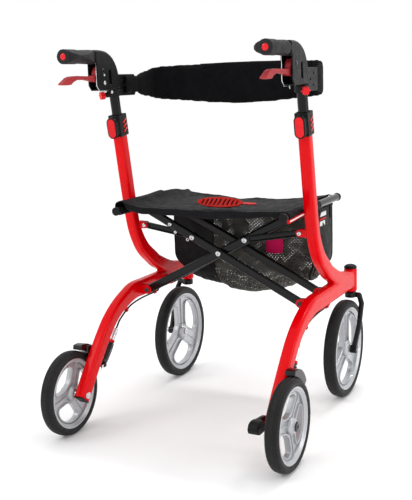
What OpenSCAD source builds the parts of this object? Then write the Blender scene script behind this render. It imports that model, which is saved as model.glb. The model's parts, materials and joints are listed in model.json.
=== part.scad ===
// Folding four-wheel walker with seat, bag, backrest band and rear drum-side brakes.
// Millimetres. X is the user's right, Y is forward, Z is up, and the ground is Z = 0.

/* [Frame] */
// Distance between the centre planes of the two side frames
frame_gap = 486; // [480:1:500]
// Width of the frame section across the walker
tube_w = 28; // [27:0.5:28]
// Height of the lower cross-brace pivots
low_z = 300; // [298:1:302]
// Height of the centre pivots of the cross braces
centre_z = 409.4; // [405:0.2:412]
// Backward lean of the uprights, in degrees
lean = 10.2; // [9:0.1:11]

/* [Wheels] */
// Rear wheel diameter
rear_d = 203; // [198:1:204]
// Front wheel diameter
front_d = 254; // [248:1:254]
// Widest part of the tyres
tyre_w = 32; // [28:1:32]
// Distance the front axle trails behind the swivel axis
trail = 55.6; // [50:0.2:58]

/* [Braces and seat] */
// Depth of the flat-oval brace bars, in the plane of the brace
bar_w = 22; // [18:1:24]
// Thickness of the flat-oval brace bars
bar_t = 10; // [8:0.5:10]
// Outside radius of the seat rails
rail_r = 9; // [8:0.5:9]
// Fabric thickness of the seat
seat_t = 4; // [2:0.5:4]

/* [Handles] */
// Diameter of the sliding handle posts
post_d = 24; // [22:0.5:24]
// Height of the grip axis above the ground
grip_z = 889; // [886:1:892]
// Radius of the grip
grip_r = 16.5; // [15:0.5:18]

/* [Soft parts] */
// Half width of the hanging bag
bag_x = 203; // [190:1:204]
// Fabric thickness of the bag
bag_t = 3; // [2:0.5:4]
// Thickness of the backrest band
band_t = 9; // [6:0.5:10]

/* [Hidden] */
fx = frame_gap / 2;
half_w = tube_w / 2;
in_x = fx - half_w;
out_x = fx + half_w;
low_x = fx - 31;
rail_x = fx - 25.5;
theta = atan2(centre_z - low_z, low_x);
rail_z = centre_z + rail_x * tan(theta);
low_len = low_x / cos(theta);
bar_len = (low_x + rail_x) / cos(theta);
stop_len = 79.7;
link_x = fx - 30.5;
link_z = 469.5;
stop_x = stop_len * cos(theta);
stop_z = centre_z + stop_len * sin(theta);
link_len = norm([link_x - stop_x, link_z - stop_z]);
link_tilt = atan2(link_z - stop_z, link_x - stop_x);
layer = bar_t + 1;
front_brace = 124;
pin_r = 4;
run = 0.05;
rear_y = -261.5;
rear_x = fx + 37;
rear_r = rear_d / 2;
caster_y = 291.5;
front_y = caster_y - trail;
front_r = front_d / 2;
post_r = post_d / 2;
foot_y = -23.5;
foot_z = 620;
upright_top = 747;
rear_seat = 84;
front_seat = 108;
fine = 64;

// Centreline of the upright and the beam to the swivel housing: [y, z, depth]
upright_path = [
  [-46.5, 748, 30.5], [-37.9, 700, 30.5], [-23.5, 620, 30.5], [-11.8, 555, 30], [-1, 500, 29],
  [14, 452, 30], [45, 405, 34], [89.5, 370, 36], [117.5, 352, 36], [190.5, 322, 38], [291.5, 302, 44]];

// Centreline of the beam, running back over the arch and down the rear leg: [y, z, depth]
leg_path = [
  [291.5, 300, 44], [180, 301, 44], [90, 301, 43], [40, 301, 43], [-10.5, 301, 42], [-51.5, 290.5, 38],
  [-85.5, 277, 36], [-112.5, 262, 35], [-137.5, 243, 35], [-160.5, 220, 35], [-185.5, 192, 35],
  [-224.5, 146, 35.5], [-267, 92.5, 35.5]];
leg_dir = atan2(-53.5, -42.5);

// Centreline of the handle arch: [y, z, depth]
arch_path = [
  [-60, 815, 33], [-64, 838, 33], [-71, 859, 33], [-84, 876, 32], [-104, 886, 32], [-130, grip_z, 32],
  [-149, grip_z, 32]];

function blend(a, b, c, d, u) =
  0.5 * (2 * b + (c - a) * u + (2 * a - 5 * b + 4 * c - d) * u * u + (3 * b - a - 3 * c + d) * u * u * u);
function curve(p, n) = concat(
  [for (i = [0:len(p) - 2]) for (k = [0:n - 1])
    blend(p[max(i - 1, 0)], p[i], p[i + 1], p[min(i + 2, len(p) - 1)], k / n)],
  [p[len(p) - 1]]);
function edge(q, s, inset) = [for (i = [0:len(q) - 1])
  let (a = q[max(i - 1, 0)], b = q[min(i + 1, len(q) - 1)], l = norm([b[0] - a[0], b[1] - a[1]]))
  [q[i][0] - s * (b[1] - a[1]) / l * (q[i][2] / 2 - inset),
   q[i][1] + s * (b[0] - a[0]) / l * (q[i][2] / 2 - inset)]];
function reversed(q) = [for (i = [len(q) - 1:-1:0]) q[i]];
function ribbon(q, inset) = concat(edge(q, 1, inset), reversed(edge(q, -1, inset)));
function at_lean(z) = foot_y - (z - foot_z) * tan(lean);
function sgn_pow(v, e) = sign(v) * pow(abs(v), e);

// Stands a flat Y-Z outline up and gives it a width across the walker
module slab(x, w) {
  translate([x - w / 2, 0, 0]) rotate([90, 0, 90]) linear_extrude(w) children();
}

// Round bar lying across the walker
module across(x, y, z, r, w) {
  translate([x, y, z]) rotate([0, 90, 0]) cylinder(r = r, h = w, $fn = fine);
}

// Round bar lying along the direction of travel
module along(x, y, z, r, l) {
  translate([x, y, z]) rotate([-90, 0, 0]) cylinder(r = r, h = l, $fn = fine);
}

// Round bar between two points
module rod(a, b, r) {
  v = b - a;
  translate(a) rotate([0, acos(v[2] / norm(v)), atan2(v[1], v[0])]) cylinder(r = r, h = norm(v), $fn = 32);
}

module bent_rod(p, r) {
  for (i = [0:len(p) - 2]) rod(p[i], p[i + 1], r);
  for (i = [1:len(p) - 2]) translate(p[i]) sphere(r = r, $fn = 32);
}

// Places children on the sliding axis of the right handle post, z up the post from the foot
module on_post(z) {
  translate([fx, at_lean(z), z]) rotate([lean, 0, 0]) children();
}

module left_side() {
  mirror([1, 0, 0]) children();
}

// Section of the frame with its long edges broken in two steps
module frame_slab(w, inset) {
  slab(fx, w) union() {
    polygon(ribbon(curve(upright_path, 4), inset));
    polygon(ribbon(curve(leg_path, 3), inset));
  }
}

// Pair of ears that hold a brace or link pivot: y is the back face of the gap, gap its width
module ears(x, y, z, gap, r) {
  ear = 3;
  for (y0 = [y - ear, y + gap]) {
    along(x, y0, z, r, ear);
    translate([x, y0, z - r]) cube([in_x - x + 2, ear, 2 * r]);
  }
}

cable_exit = [[fx, 116, 271], [fx, 140, 295]];
// Guide eyes under the beam: [y, z, slope in degrees, height of the tab]
cable_guides = [[100, 271.5, 0, 12], [-48, 257, 22, 19]];
guide_r = 3.3;
brake_pin = [-190, 170];
brake_axis_start = [fx, -100, 222];
brake_axis_dir = [0, -0.68, -0.733];
function on_cable(d) = brake_axis_start + brake_axis_dir * d;
function in_guide(g, d) = [fx, g[0] + d * cos(g[2]), g[1] + d * sin(g[2])];

module side_frame(brace_y, link_y) {
  difference() {
    union() {
      frame_slab(tube_w, 4);
      frame_slab(tube_w - 2.4, 1.7);
      frame_slab(tube_w - 7, 0);
      translate([fx, caster_y, 268]) cylinder(r = 17, h = 62, $fn = fine);
      for (y = [brace_y, brace_y + front_brace]) ears(low_x, y - 0.4, low_z, bar_t + 0.8, 11);
      ears(link_x, link_y - 0.3, link_z, 8.6, 9);
      // tab that carries the cable stop in front of the rear leg
      rod([fx, -150, 220.6], on_cable(35), 4);
      rod(on_cable(33.5), on_cable(39), 7);
      for (g = cable_guides) rod(in_guide(g, -3), in_guide(g, 3), guide_r + 1.7);
      for (g = cable_guides) translate([fx - 2, g[0] - 3, g[1]]) cube([4, 6, g[3]]);
    }
    // square cut across the top of the tube
    on_post(upright_top) translate([-half_w - 6, -25, 0]) cube([tube_w + 12, 50, 20]);
    on_post(foot_z) translate([0, 0, -82]) cylinder(r = post_r + run, h = 300, $fn = fine);
    translate([fx, caster_y, 262]) cylinder(r = 8.05, h = 60, $fn = fine);
    across(fx - 20, rear_y, rear_r, 5 + run, 40);
    across(fx - 2, brake_pin[0], brake_pin[1], pin_r + run, 20);
    for (y = [brace_y, brace_y + front_brace]) along(low_x, y - 10, low_z, pin_r + run, 30);
    along(link_x, link_y - 10, link_z, 3 + run, 30);
    rod(cable_exit[0], cable_exit[1], 2.7);
    rod(on_cable(20), on_cable(60), 3);
    rod(on_cable(20), on_cable(33.45), 5.6);
    for (g = cable_guides) rod(in_guide(g, -6), in_guide(g, 6), guide_r);
  }
}

module side_frame_left() color("red") left_side() side_frame(layer, layer + 1);
module side_frame_right() color("red") side_frame(0, 1);

module frame_plugs() {
  dome = [for (a = [0:10:90]) [17 * cos(a), 2 + 9 * sin(a)]];
  translate([fx, caster_y, 330.1]) rotate_extrude($fn = fine) polygon(concat([[0, 0], [17, 0]], dome));
  translate([fx, -267, 92.5]) rotate([leg_dir, 0, 0]) translate([0, 1.6, 0])
    cube([tube_w - 3, 3, 33], center = true);
}

module frame_plugs_left() color("#151515") left_side() frame_plugs();
module frame_plugs_right() color("#151515") frame_plugs();

button_h = 46;
button_w = 20;

// Oblong block standing on its length: x width, y depth, z height, ends round in the X-Z plane
module oblong(w, d, h) {
  translate([-w / 2, 0, w / 2]) cube([w, d, h - w]);
  for (z = [w / 2, h - w / 2]) along(0, 0, z, w / 2, d);
}

module adjuster() {
  wall = 2;
  on_post(700) difference() {
    union() {
      translate([-half_w - wall, -15.25 - wall, 0]) cube([tube_w + 2 * wall, 30.5 + 2 * wall, 53]);
      translate([0, -33, -1]) oblong(button_w + 6, 20, button_h + 6);
    }
    // pocket for the top of the frame tube
    translate([-half_w - 0.1, -15.35, -5]) cube([tube_w + 0.2, 30.7, 54.2]);
    cylinder(r = post_r + 0.4, h = 70, $fn = fine);
    // recess that lets the button travel forward
    translate([0, -34, 1.6]) oblong(button_w + 0.8, 12, button_h + 0.8);
    // three slanted slots in each side that show the tube
    for (z = [14, 25, 36]) for (s = [-1, 1])
      translate([s * (half_w + 1), 4, z]) rotate([28, 0, 0]) cube([wall * 3, 20, 4.4], center = true);
  }
}

module adjuster_left() color("#1a1a1a") left_side() adjuster();
module adjuster_right() color("#1a1a1a") adjuster();

module height_button() {
  on_post(700) difference() {
    translate([0, -34, 2]) oblong(button_w, 7, button_h);
    for (z = [14, 20, 26, 32]) translate([-6, -34.5, z]) cube([12, 1.2, 1.6]);
  }
}

module height_button_left() color("#c81020") left_side() height_button();
module height_button_right() color("#c81020") height_button();

post_low = 566;
post_top = 846;

module handle_post() {
  h = (post_top - post_low) / cos(lean);
  on_post(post_low) difference() {
    cylinder(r = post_r, h = h, $fn = fine);
    translate([0, 0, -1]) cylinder(r = post_r - 2, h = h + 2, $fn = fine);
  }
}

module handle_post_left() color("#101010") left_side() handle_post();
module handle_post_right() color("#101010") handle_post();

lever_pin = [-122, 858];
shell_w = 28;
cheek = 3;

module arch_slab(w, inset) {
  slab(fx, w) polygon(ribbon(curve(arch_path, 4), inset));
}

module handle_shell() {
  housing = [[-145, 884], [-145, 823], [-134, 811], [-92, 811], [-68, 816], [-62, 850], [-100, 884]];
  gap = [[-86, 862], [-96, 858], [-96, 828], [-82.5, 824]];
  difference() {
    union() {
      arch_slab(shell_w, 4);
      arch_slab(shell_w - 3, 1.7);
      arch_slab(shell_w - 8, 0);
      slab(fx, shell_w) polygon(housing);
      along(fx, -250, grip_z, 9.9, 102);
    }
    on_post(790) cylinder(r = post_r + run, h = (post_top + 1 - 790) / cos(lean), $fn = fine);
    // channel between the cheeks for the brake lever
    translate([fx - shell_w / 2 + cheek, -150, 814]) cube([shell_w - 2 * cheek, 50, 58]);
    slab(fx, shell_w + 2) polygon(gap);
    across(fx - 20, lever_pin[0], lever_pin[1], pin_r + run, 40);
  }
}

module handle_shell_left() color("#1c1c1c") left_side() handle_shell();
module handle_shell_right() color("#1c1c1c") handle_shell();

grip_end = -262;

module grip() {
  wing = [[-12, -150], [-18, -168], [-27, -195], [-33, -225], [-31, -246], [-22, -257], [0, -260],
    [0, -150]];
  // cross-section of the palm rest, pointed toward the middle of the walker
  drop = [[0, 14.5], [-8, 14.2], [-16, 11.5], [-24, 7.6], [-30, 4.4], [-32.5, 2], [-32.5, -2], [-30, -4.4],
    [-24, -7.6], [-16, -11.5], [-8, -14.2], [0, -14.5]];
  profile = [[10, 0], [12, 0], [grip_r, 5], [grip_r, 12], [grip_r - 1, 55], [grip_r, 92], [grip_r, 110.5],
    [10, 110.5]];
  end = [for (a = [0:15:90]) [(grip_r - 6) + 6 * sin(a), 6 - 6 * cos(a)]];
  difference() {
    union() {
      translate([fx, grip_end + 5.5, grip_z]) rotate([-90, 0, 0]) rotate_extrude($fn = fine)
        polygon(concat([[0, 5.5], [0, 0]], [for (p = end) [p[0], p[1] - 5.5]], [[grip_r, 5.5]]));
      translate([fx, grip_end + 5.9, grip_z]) rotate([-90, 0, 0]) cylinder(r = grip_r, h = 40, $fn = fine);
      translate([fx, grip_end, grip_z]) rotate([-90, 0, 0]) rotate_extrude($fn = fine)
        polygon([for (p = reversed(profile)) [p[0], 111 - p[1]]]);
      intersection() {
        translate([fx, 0, grip_z - 18]) linear_extrude(36) polygon(wing);
        translate([fx, -150, grip_z]) rotate([90, 0, 0]) linear_extrude(112) polygon(drop);
      }
    }
    along(fx, -252, grip_z, 10, 110);
    along(fx, grip_end - 2, grip_z, 7.6, 4);
  }
}

module grip_left() color("#202020") left_side() grip();
module grip_right() color("#202020") grip();

module grip_dot() {
  dome = [for (a = [0:15:90]) [7.5 * cos(a), 0.4 + 2 * sin(a)]];
  translate([fx, grip_end + 1.9, grip_z]) rotate([90, 0, 0]) rotate_extrude($fn = 48)
    polygon(concat([[0, 0], [7.5, 0]], dome));
}

module grip_dot_left() color("#e00018") left_side() grip_dot();
module grip_dot_right() color("#e00018") grip_dot();

module brake_lever() {
  outline = [
    [-276, 827], [-258, 826], [-243, 827], [-233, 833], [-217, 837.5], [-180, 837], [-152, 833],
    [-112, 829],
    [-110, 846], [-113, 864], [-120, 869], [-130, 867], [-137, 858], [-141, 848], [-158, 845.5],
    [-180, 845.5], [-217, 846.5], [-240, 845.5], [-252, 842.5], [-264, 836], [-275, 830.5]];
  difference() {
    union() {
      slab(fx, 14) polygon(outline);
      across(fx - 13.9, lever_pin[0], lever_pin[1], pin_r, 27.8);
    }
    for (s = [-1, 1]) translate([fx + s * 9, -200, 841]) cube([6, 50, 3], center = true);
  }
}

module brake_lever_left() color("#a82028") left_side() brake_lever();
module brake_lever_right() color("#a82028") brake_lever();

clamp_z = 797;
screw_turn = atan2(0.81, 0.59);

module backrest_bracket() {
  plate = [[-45, clamp_z], [38, clamp_z], [42, 801], [42, 845], [38, 849], [-34, 849], [-40, 843],
    [-40, 816], [-45, 812]];
  difference() {
    union() {
      on_post(clamp_z) cylinder(r = post_r + 4.7, h = 15, $fn = fine);
      slab(fx, 5) polygon(plate);
      on_post(clamp_z + 6) rotate([0, 0, -screw_turn]) across(12, 0, 0, 6.5, 10);
    }
    on_post(clamp_z - 10) cylinder(r = post_r + run, h = 60, $fn = fine);
    on_post(clamp_z + 6) rotate([0, 0, -screw_turn]) across(0, 0, 0, 3 + run, 40);
    for (p = [[-22, 836], [-6, 823], [-22, 810], [14, 836], [14, 810]]) across(fx - 5, p[0], p[1], 3, 10);
  }
}

module backrest_bracket_left() color("#242424") left_side() backrest_bracket();
module backrest_bracket_right() color("#242424") backrest_bracket();

module thumb_screw() {
  on_post(clamp_z + 6) rotate([0, 0, -screw_turn]) {
    across(13, 0, 0, 3, 14);
    difference() {
      across(25, 0, 0, 9.5, 11);
      for (a = [0:60:300]) rotate([a, 0, 0]) across(24, 0, 11.5, 4, 13);
    }
  }
}

module thumb_screw_left() color("#d01020") left_side() thumb_screw();
module thumb_screw_right() color("#d01020") thumb_screw();

module tyre(r, seat) {
  w = tyre_w / 2;
  half = [[seat, w - 3], [seat + 4, w - 1], [r - 9, w], [r - 5, w - 1.5], [r - 2, w - 5],
    [r - 0.6, w - 9.5]];
  rotate([0, 90, 0]) rotate_extrude($fn = 96)
    polygon(concat(half, [[r, 2.5], [r, -2.5]], [for (p = reversed(half)) [p[0], -p[1]]]));
}

// One rounded window between two spokes, centred on the local X direction
module window(inner, outer, half_a) {
  mid = (inner + outer) / 2;
  reach = (outer - inner) / 2;
  polygon([for (t = [0:12:348])
    let (r = mid + reach * sgn_pow(sin(t), 0.6), a = half_a * sgn_pow(cos(t), 0.6) * (0.5 + 0.5 * r / outer))
    [r * cos(a), r * sin(a)]]);
}

module rim(seat, hub_r, axle_r) {
  hub_w = tyre_w;
  difference() {
    union() {
      rotate([0, 90, 0]) rotate_extrude($fn = 96) polygon([[seat - 9, -9], [seat - 8, -13],
        [seat - run, -13], [seat - run, 13], [seat - 8, 13], [seat - 9, 9]]);
      rotate([90, 0, 90]) translate([0, 0, -5]) linear_extrude(10) difference() {
        circle(r = seat - 8.5, $fn = 96);
        for (a = [35, 155, 275]) rotate(a) window(hub_r + 7, seat - 13, 47);
      }
      across(-hub_w / 2, 0, 0, hub_r, hub_w);
      for (a = [95, 215, 335]) rotate([a, 0, 0])
        translate([-8, hub_r - 3, -3]) cube([16, seat - hub_r - 5, 6]);
    }
    across(-hub_w, 0, 0, axle_r + run, 2 * hub_w);
    for (s = [-1, 1]) across(s * (hub_w / 2) - 3, 0, 0, hub_r - 6, 6);
  }
}

module rear_tyre_left() color("#202022") translate([-rear_x, rear_y, rear_r]) tyre(rear_r, rear_seat);
module rear_tyre_right() color("#202022") translate([rear_x, rear_y, rear_r]) tyre(rear_r, rear_seat);
module rear_rim_left() color("silver") left_side() translate([rear_x, rear_y, rear_r]) rim(rear_seat, 18, 5);
module rear_rim_right() color("silver") translate([rear_x, rear_y, rear_r]) rim(rear_seat, 18, 5);
module front_tyre_left() color("#202022") translate([-fx, front_y, front_r]) tyre(front_r, front_seat);
module front_tyre_right() color("#202022") translate([fx, front_y, front_r]) tyre(front_r, front_seat);
module front_rim_left() color("silver") left_side() translate([fx, front_y, front_r]) rim(front_seat, 20, 4);
module front_rim_right() color("silver") translate([fx, front_y, front_r]) rim(front_seat, 20, 4);

// Bolt that carries a rear wheel: inner is where the head sits
module rear_axle(inner) {
  outer = rear_x + tyre_w / 2 - 2.9;
  across(inner, rear_y, rear_r, 5, outer - inner);
  across(inner - 3, rear_y, rear_r, 8, 3);
  across(out_x + 0.1, rear_y, rear_r, 8, rear_x - tyre_w / 2 + 2.9 - out_x);
  across(outer, rear_y, rear_r, 11, 6);
}

module rear_axle_left() color("#909498") left_side() rear_axle(in_x - 0.1);
module rear_axle_right() color("#909498") rear_axle(in_x - 9.1);

module fork() {
  difference() {
    union() {
      translate([fx, caster_y, 262]) cylinder(r = 8, h = 58, $fn = fine);
      translate([fx, caster_y, 252]) cylinder(r = 15, h = 14, $fn = fine);
      bent_rod([[fx, caster_y, 259], [fx + 24, caster_y - 1, 259], [fx + 32, caster_y - 6, 238],
        [fx + 32, caster_y - 28, 185], [fx + 28, front_y + 3, front_r + 12]], 7);
      rod([fx + 28, front_y + 3, front_r + 12], [fx + 27, front_y, front_r], 7);
      across(fx + tyre_w / 2 + 2, front_y, front_r, 11, 17);
    }
    across(fx, front_y, front_r, 4 + run, 60);
  }
}

module fork_left() color("#141414") left_side() fork();
module fork_right() color("#141414") fork();

module front_axle() {
  across(fx - tyre_w / 2 + 2.9, front_y, front_r, 4, tyre_w + 17);
  across(fx - tyre_w / 2 - 2, front_y, front_r, 8, 4.9);
  across(fx + tyre_w / 2 + 19.1, front_y, front_r, 7, 4);
  across(fx + tyre_w / 2 - 2.9, front_y, front_r, 7, 4.8);
}

module front_axle_left() color("#a0a4a8") left_side() front_axle();
module front_axle_right() color("#a0a4a8") front_axle();

shoe_in = rear_r + 2;
shoe_out = rear_r + 25;
tail = 98;

// Brake arm: plate beside the leg, shoe over the tyre and a lug on the cable line
module brake_arm() {
  lug = on_cable(tail);
  steps = [34:5:74];
  // the back of the shoe thins down toward its heel
  shoe = concat([for (a = steps) [rear_y + shoe_in * cos(a), rear_r + shoe_in * sin(a)]],
    reversed([for (a = steps) let (r = shoe_out - pow(abs(a - 48) / 7.5, 2))
      [rear_y + r * cos(a), rear_r + r * sin(a)]]));
  plate = [[-204, 168], [-196, 156], [-176, 142], [-160, 138], [-155, 150], [-162, 160], [-168, 182],
    [-178, 199], [-206, 206], [-208, 186]];
  difference() {
    union() {
      slab(rear_x - 6.5, tyre_w - 8) polygon(shoe);
      slab(out_x + 2.9, 4.2) polygon(plate);
      translate([fx - 6, lug[1] - 5, lug[2] - 9]) cube([out_x - fx + 8, 12, 11]);
    }
    across(fx, brake_pin[0], brake_pin[1], pin_r + run, 60);
    // room for the push-on washer that holds the arm on its pin
    across(out_x + 5.05, brake_pin[0], brake_pin[1], 6.3, 3);
    rod(on_cable(tail - 15), on_cable(tail + 20), 2.6);
  }
}

module brake_arm_left() color("#0c0c0c") left_side() brake_arm();
module brake_arm_right() color("#0c0c0c") brake_arm();

// Return spring on the cable, between the cable stop and the brake arm
module brake_spring() {
  turns = 9;
  pitch = 5.2;
  start = on_cable(39.6);
  outer = [for (i = [0:turns - 1]) for (k = [0, 1]) [k == 0 ? 6.5 : 8.5, i * pitch + k * pitch / 2]];
  translate(start) rotate([0, acos(brake_axis_dir[2]), atan2(brake_axis_dir[1], 0)])
    rotate_extrude($fn = 32) polygon(concat([[4, 0]], outer, [[6.5, turns * pitch], [4, turns * pitch]]));
}

module brake_spring_left() color("#1a1a1c") left_side() brake_spring();
module brake_spring_right() color("#1a1a1c") brake_spring();

// Steel on the side frame: pivot pins, cable barrel and brake pin
module frame_fittings(brace_y, link_y) {
  for (y = [brace_y, brace_y + front_brace]) {
    along(low_x, y - 3.5, low_z, pin_r, bar_t + 7);
    along(low_x, y - 6.5, low_z, 6, 3);
    along(low_x, y + bar_t + 3.5, low_z, 6, 3);
  }
  along(link_x, link_y - 3.4, link_z, 3, 14.8);
  along(link_x, link_y - 6, link_z, 5, 2.6);
  along(link_x, link_y + 11.4, link_z, 5, 2.6);
  difference() {
    union() {
      rod(on_cable(1), on_cable(33.4), 5.5);
      rod(on_cable(8), on_cable(16), 6.5);
    }
    rod(on_cable(-2), on_cable(40), 2.6);
  }
  across(fx, brake_pin[0], brake_pin[1], pin_r, half_w + 5.3);
  across(out_x + 5.1, brake_pin[0], brake_pin[1], 5.5, 0.8);
}

module frame_fittings_left() color("#b8bcc0") left_side() frame_fittings(layer, layer + 1);
module frame_fittings_right() color("#b8bcc0") frame_fittings(0, 1);

// Centreline of the brake cable from the beam to the brake: [y, z, depth]
function cable_at(d) = [on_cable(d)[1], on_cable(d)[2], 4.6];
cable_path = concat([for (d = [14, 8, 2]) [cable_exit[0][1] + d, cable_exit[0][2] + d, 4.6]],
  [[108, 271.5, 4.6], [92, 271.5, 4.6], [30, 271, 4.6], [-19, 266, 4.6], [-48, 257, 4.6], [-78, 242, 4.6]],
  [for (d = [-14, -2, 10, 24, 36]) cable_at(d)]);

module brake_cable() {
  slab(fx, 2) polygon(ribbon(curve(cable_path, 3), 0));
  slab(fx, 3.4) polygon(ribbon(curve(cable_path, 3), 0.6));
  slab(fx, 4.6) polygon(ribbon(curve(cable_path, 3), 1.3));
}

module brake_cable_left() color("#0e0e0e") left_side() brake_cable();
module brake_cable_right() color("#0e0e0e") brake_cable();

rail_back = -110;
rail_front = 256;

module seat_rail() {
  difference() {
    along(rail_x, rail_back, rail_z, rail_r, rail_front - rail_back);
    along(rail_x, rail_back - 1, rail_z, rail_r - 1.8, rail_front - rail_back + 2);
  }
}

module seat_rail_left() color("#181818") left_side() seat_rail();
module seat_rail_right() color("#181818") seat_rail();

module rail_caps() {
  along(rail_x, rail_back - 7, rail_z, rail_r + 1.4, 6.9);
  along(rail_x, rail_back - 1, rail_z, rail_r - 1.9, 11);
  along(rail_x, rail_front + 0.1, rail_z, rail_r + 1.4, 6.9);
  along(rail_x, rail_front - 10, rail_z, rail_r - 1.9, 11);
}

module rail_caps_left() color("#0c0c0c") left_side() rail_caps();
module rail_caps_right() color("#0c0c0c") rail_caps();

// Bar from the left lower pivot up to the right rail, with its back face at y0
module brace_bar(y0, with_stop) {
  flat = bar_w - bar_t;
  translate([-low_x, y0, low_z]) rotate([0, -theta, 0]) difference() {
    union() {
      translate([0, 0, -flat / 2]) cube([bar_len - 5, bar_t, flat]);
      for (s = [-1, 1]) across(0, bar_t / 2, s * flat / 2, bar_t / 2, bar_len - 5);
      along(0, 0, 0, bar_w / 2, bar_t);
    }
    along(0, -1, 0, pin_r + run, bar_t + 2);
    along(low_len, -1, 0, pin_r + run, bar_t + 2);
    if (with_stop) along(low_len + stop_len, -1, 0, pin_r + run, bar_t + 2);
    if (with_stop) along(low_len + stop_len + 68, -1, 0, 3 + run, bar_t + 2);
    along(bar_len, -1, 0, rail_r + run, bar_t + 2);
  }
}

module brace_bars_a() color("#161616") {
  brace_bar(layer, false);
  brace_bar(front_brace + layer, false);
}

module brace_bars_b() color("#161616") left_side() {
  brace_bar(0, true);
  brace_bar(front_brace, false);
}

module centre_bolts() color("#c0c4c8") for (y = [0, front_brace]) {
  along(0, y - 3, centre_z, 6.5, 2.9);
  along(0, y - 1, centre_z, pin_r, 2 * bar_t + 4);
  along(0, y + layer + bar_t + 0.1, centre_z, 6.5, 2.6);
}

module stop_bolts() color("#c0c4c8") left_side()
  translate([-low_x, 0, low_z]) rotate([0, -theta, 0]) {
    along(low_len + stop_len, -3.5, 0, 6.5, 3.4);
    along(low_len + stop_len, -1, 0, pin_r, bar_t);
    along(low_len + stop_len + 68, -3, 0, 5, 2.9);
    along(low_len + stop_len + 68, -1, 0, 3, bar_t);
  }

// Control link of the right side: channel from the upright ears to the brace bar
module control_link(y0) {
  t = 8;
  w = 16;
  translate([link_x, y0, link_z]) rotate([0, 180 - link_tilt, 0]) difference() {
    union() {
      translate([0, 0, -w / 2]) cube([link_len, t, w]);
      for (x = [0, link_len]) along(x, 0, 0, w / 2, t);
    }
    along(0, -1, 0, 3 + run, t + 2);
    along(link_len, -1, 0, pin_r + run, t + 2);
    translate([12, -1, -w / 2 + 3]) cube([link_len - 24, 5, w - 6]);
  }
}

module control_link_left() color("#121212") left_side() control_link(layer + 1);
module control_link_right() color("#121212") {
  control_link(1);
  along(stop_x, -2.4, stop_z, 6.5, 3.3);
  along(stop_x, 0, stop_z, pin_r, 9.6);
}

seat_back = -98;
seat_front = 232;
seat_top = rail_z + rail_r + 5;
sleeve_gaps = [[-7, 28], [117, 152]];

// Half of the seat sling, on the right: panel, rail sleeve and a hem at each end
module seat_half() {
  difference() {
    union() {
      translate([0.05, seat_back, seat_top - seat_t]) cube([rail_x, seat_front - seat_back, seat_t]);
      along(rail_x, seat_back, rail_z, rail_r + 1.9, seat_front - seat_back);
      translate([rail_x - 9, seat_back, rail_z + 6]) cube([9, seat_front - seat_back, 7]);
      for (y = [seat_back, seat_front - 3]) translate([0.05, y, seat_top - 20]) cube([rail_x - 18, 3, 18]);
    }
    along(rail_x, seat_back - 1, rail_z, rail_r + 0.3, seat_front - seat_back + 2);
    for (g = sleeve_gaps) translate([rail_x - 30, g[0], rail_z - 20]) cube([50, g[1] - g[0], 29.8]);
  }
}

module seat_left() color("#17181a") left_side() seat_half();
module seat_right() color("#17181a") seat_half();

// Lift strap: slotted oval pad and the flat strap beside it
module seat_pull() color("#d02018") {
  pad = [35, -56, seat_top + 11.2];
  translate(pad) rotate([40, 0, 0]) linear_extrude(4, center = true) difference() {
    scale([2.36, 0.56]) circle(r = 25, $fn = 48);
    for (x = [-40:10:40]) translate([x, 0]) square([4, 17 - abs(x) / 6], center = true);
  }
  translate([pad[0] - 12, pad[1] - 12.5, seat_top + 0.1]) cube([24, 5, 4.5]);
  translate([48, -12, seat_top + 0.1]) cube([54, 22, 2]);
}

bag_back = 151;
bag_front = 262;
bag_low = 300;
bag_top = 505;

module bag_shape(inset) {
  i = inset;
  slab(0, 2 * (bag_x - i)) polygon([[bag_back + i, bag_top + 1], [bag_back + i, bag_low + 30 + i],
    [bag_back + 18 + i, bag_low + i], [bag_front - 28 - i, bag_low + i], [bag_front - i, bag_low + 34 + i],
    [bag_front - i, bag_top + 1]]);
}

module bag() color("#1c1d20") difference() {
  bag_shape(0);
  bag_shape(bag_t);
  translate([-bag_x - 1, bag_back - 1, bag_top]) cube([2 * bag_x + 2, 120, 10]);
}

// Plan of the backrest band: [x, y], the right half and then its mirror image
band_plan = [[233, -18], [235.5, 10], [235.5, 42], [236, 62], [231, 92], [213, 122], [172, 144], [110, 156],
  [50, 161], [0, 162]];

band_other = [for (i = [len(band_plan) - 2:-1:0]) [-band_plan[i][0], band_plan[i][1]]];

function flat3(q) = [for (p = q) [p[0], p[1], 0]];

module band_strip(inset, low, high) {
  q = curve(flat3(concat(band_plan, band_other)), 2);
  sized = [for (p = q) [p[0], p[1], band_t]];
  translate([0, 0, low]) linear_extrude(high - low) polygon(ribbon(sized, inset));
}

module backrest_band() color("#101114") intersection() {
  union() {
    band_strip(0, 768, 872);
    band_strip(2, 764, 876);
  }
  // the band is deepest in the middle and tapers to its end sleeves
  translate([0, 200, 0]) rotate([90, 0, 0]) linear_extrude(260) polygon([
    [-241, 799], [-236, 799], [-212, 785], [-150, 773], [-60, 765], [60, 764], [150, 772], [212, 784],
    [236, 799], [241, 799], [241, 849], [236, 849], [212, 865], [150, 873], [60, 875.5], [-60, 875.5],
    [-150, 872], [-212, 865], [-236, 849], [-241, 849]]);
}

// Kerb pedal: plate on the inner face of the right leg with a foot pad behind it
module curb_pedal() color("#0e0e0e") difference() {
  union() {
    slab(in_x - 4.6, 8.8) polygon([[-246, 92], [-246, 110], [-262, 117], [-300, 122], [-330, 123],
      [-338, 117], [-339, 108], [-332, 100], [-300, 96], [-270, 86]]);
    slab(in_x + 3, 24) polygon([[-302, 98], [-300, 118], [-308, 125], [-328, 126], [-337, 122], [-342, 112],
      [-338, 103], [-328, 98]]);
  }
  across(in_x - 20, rear_y, rear_r, 5 + run, 40);
}

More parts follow.
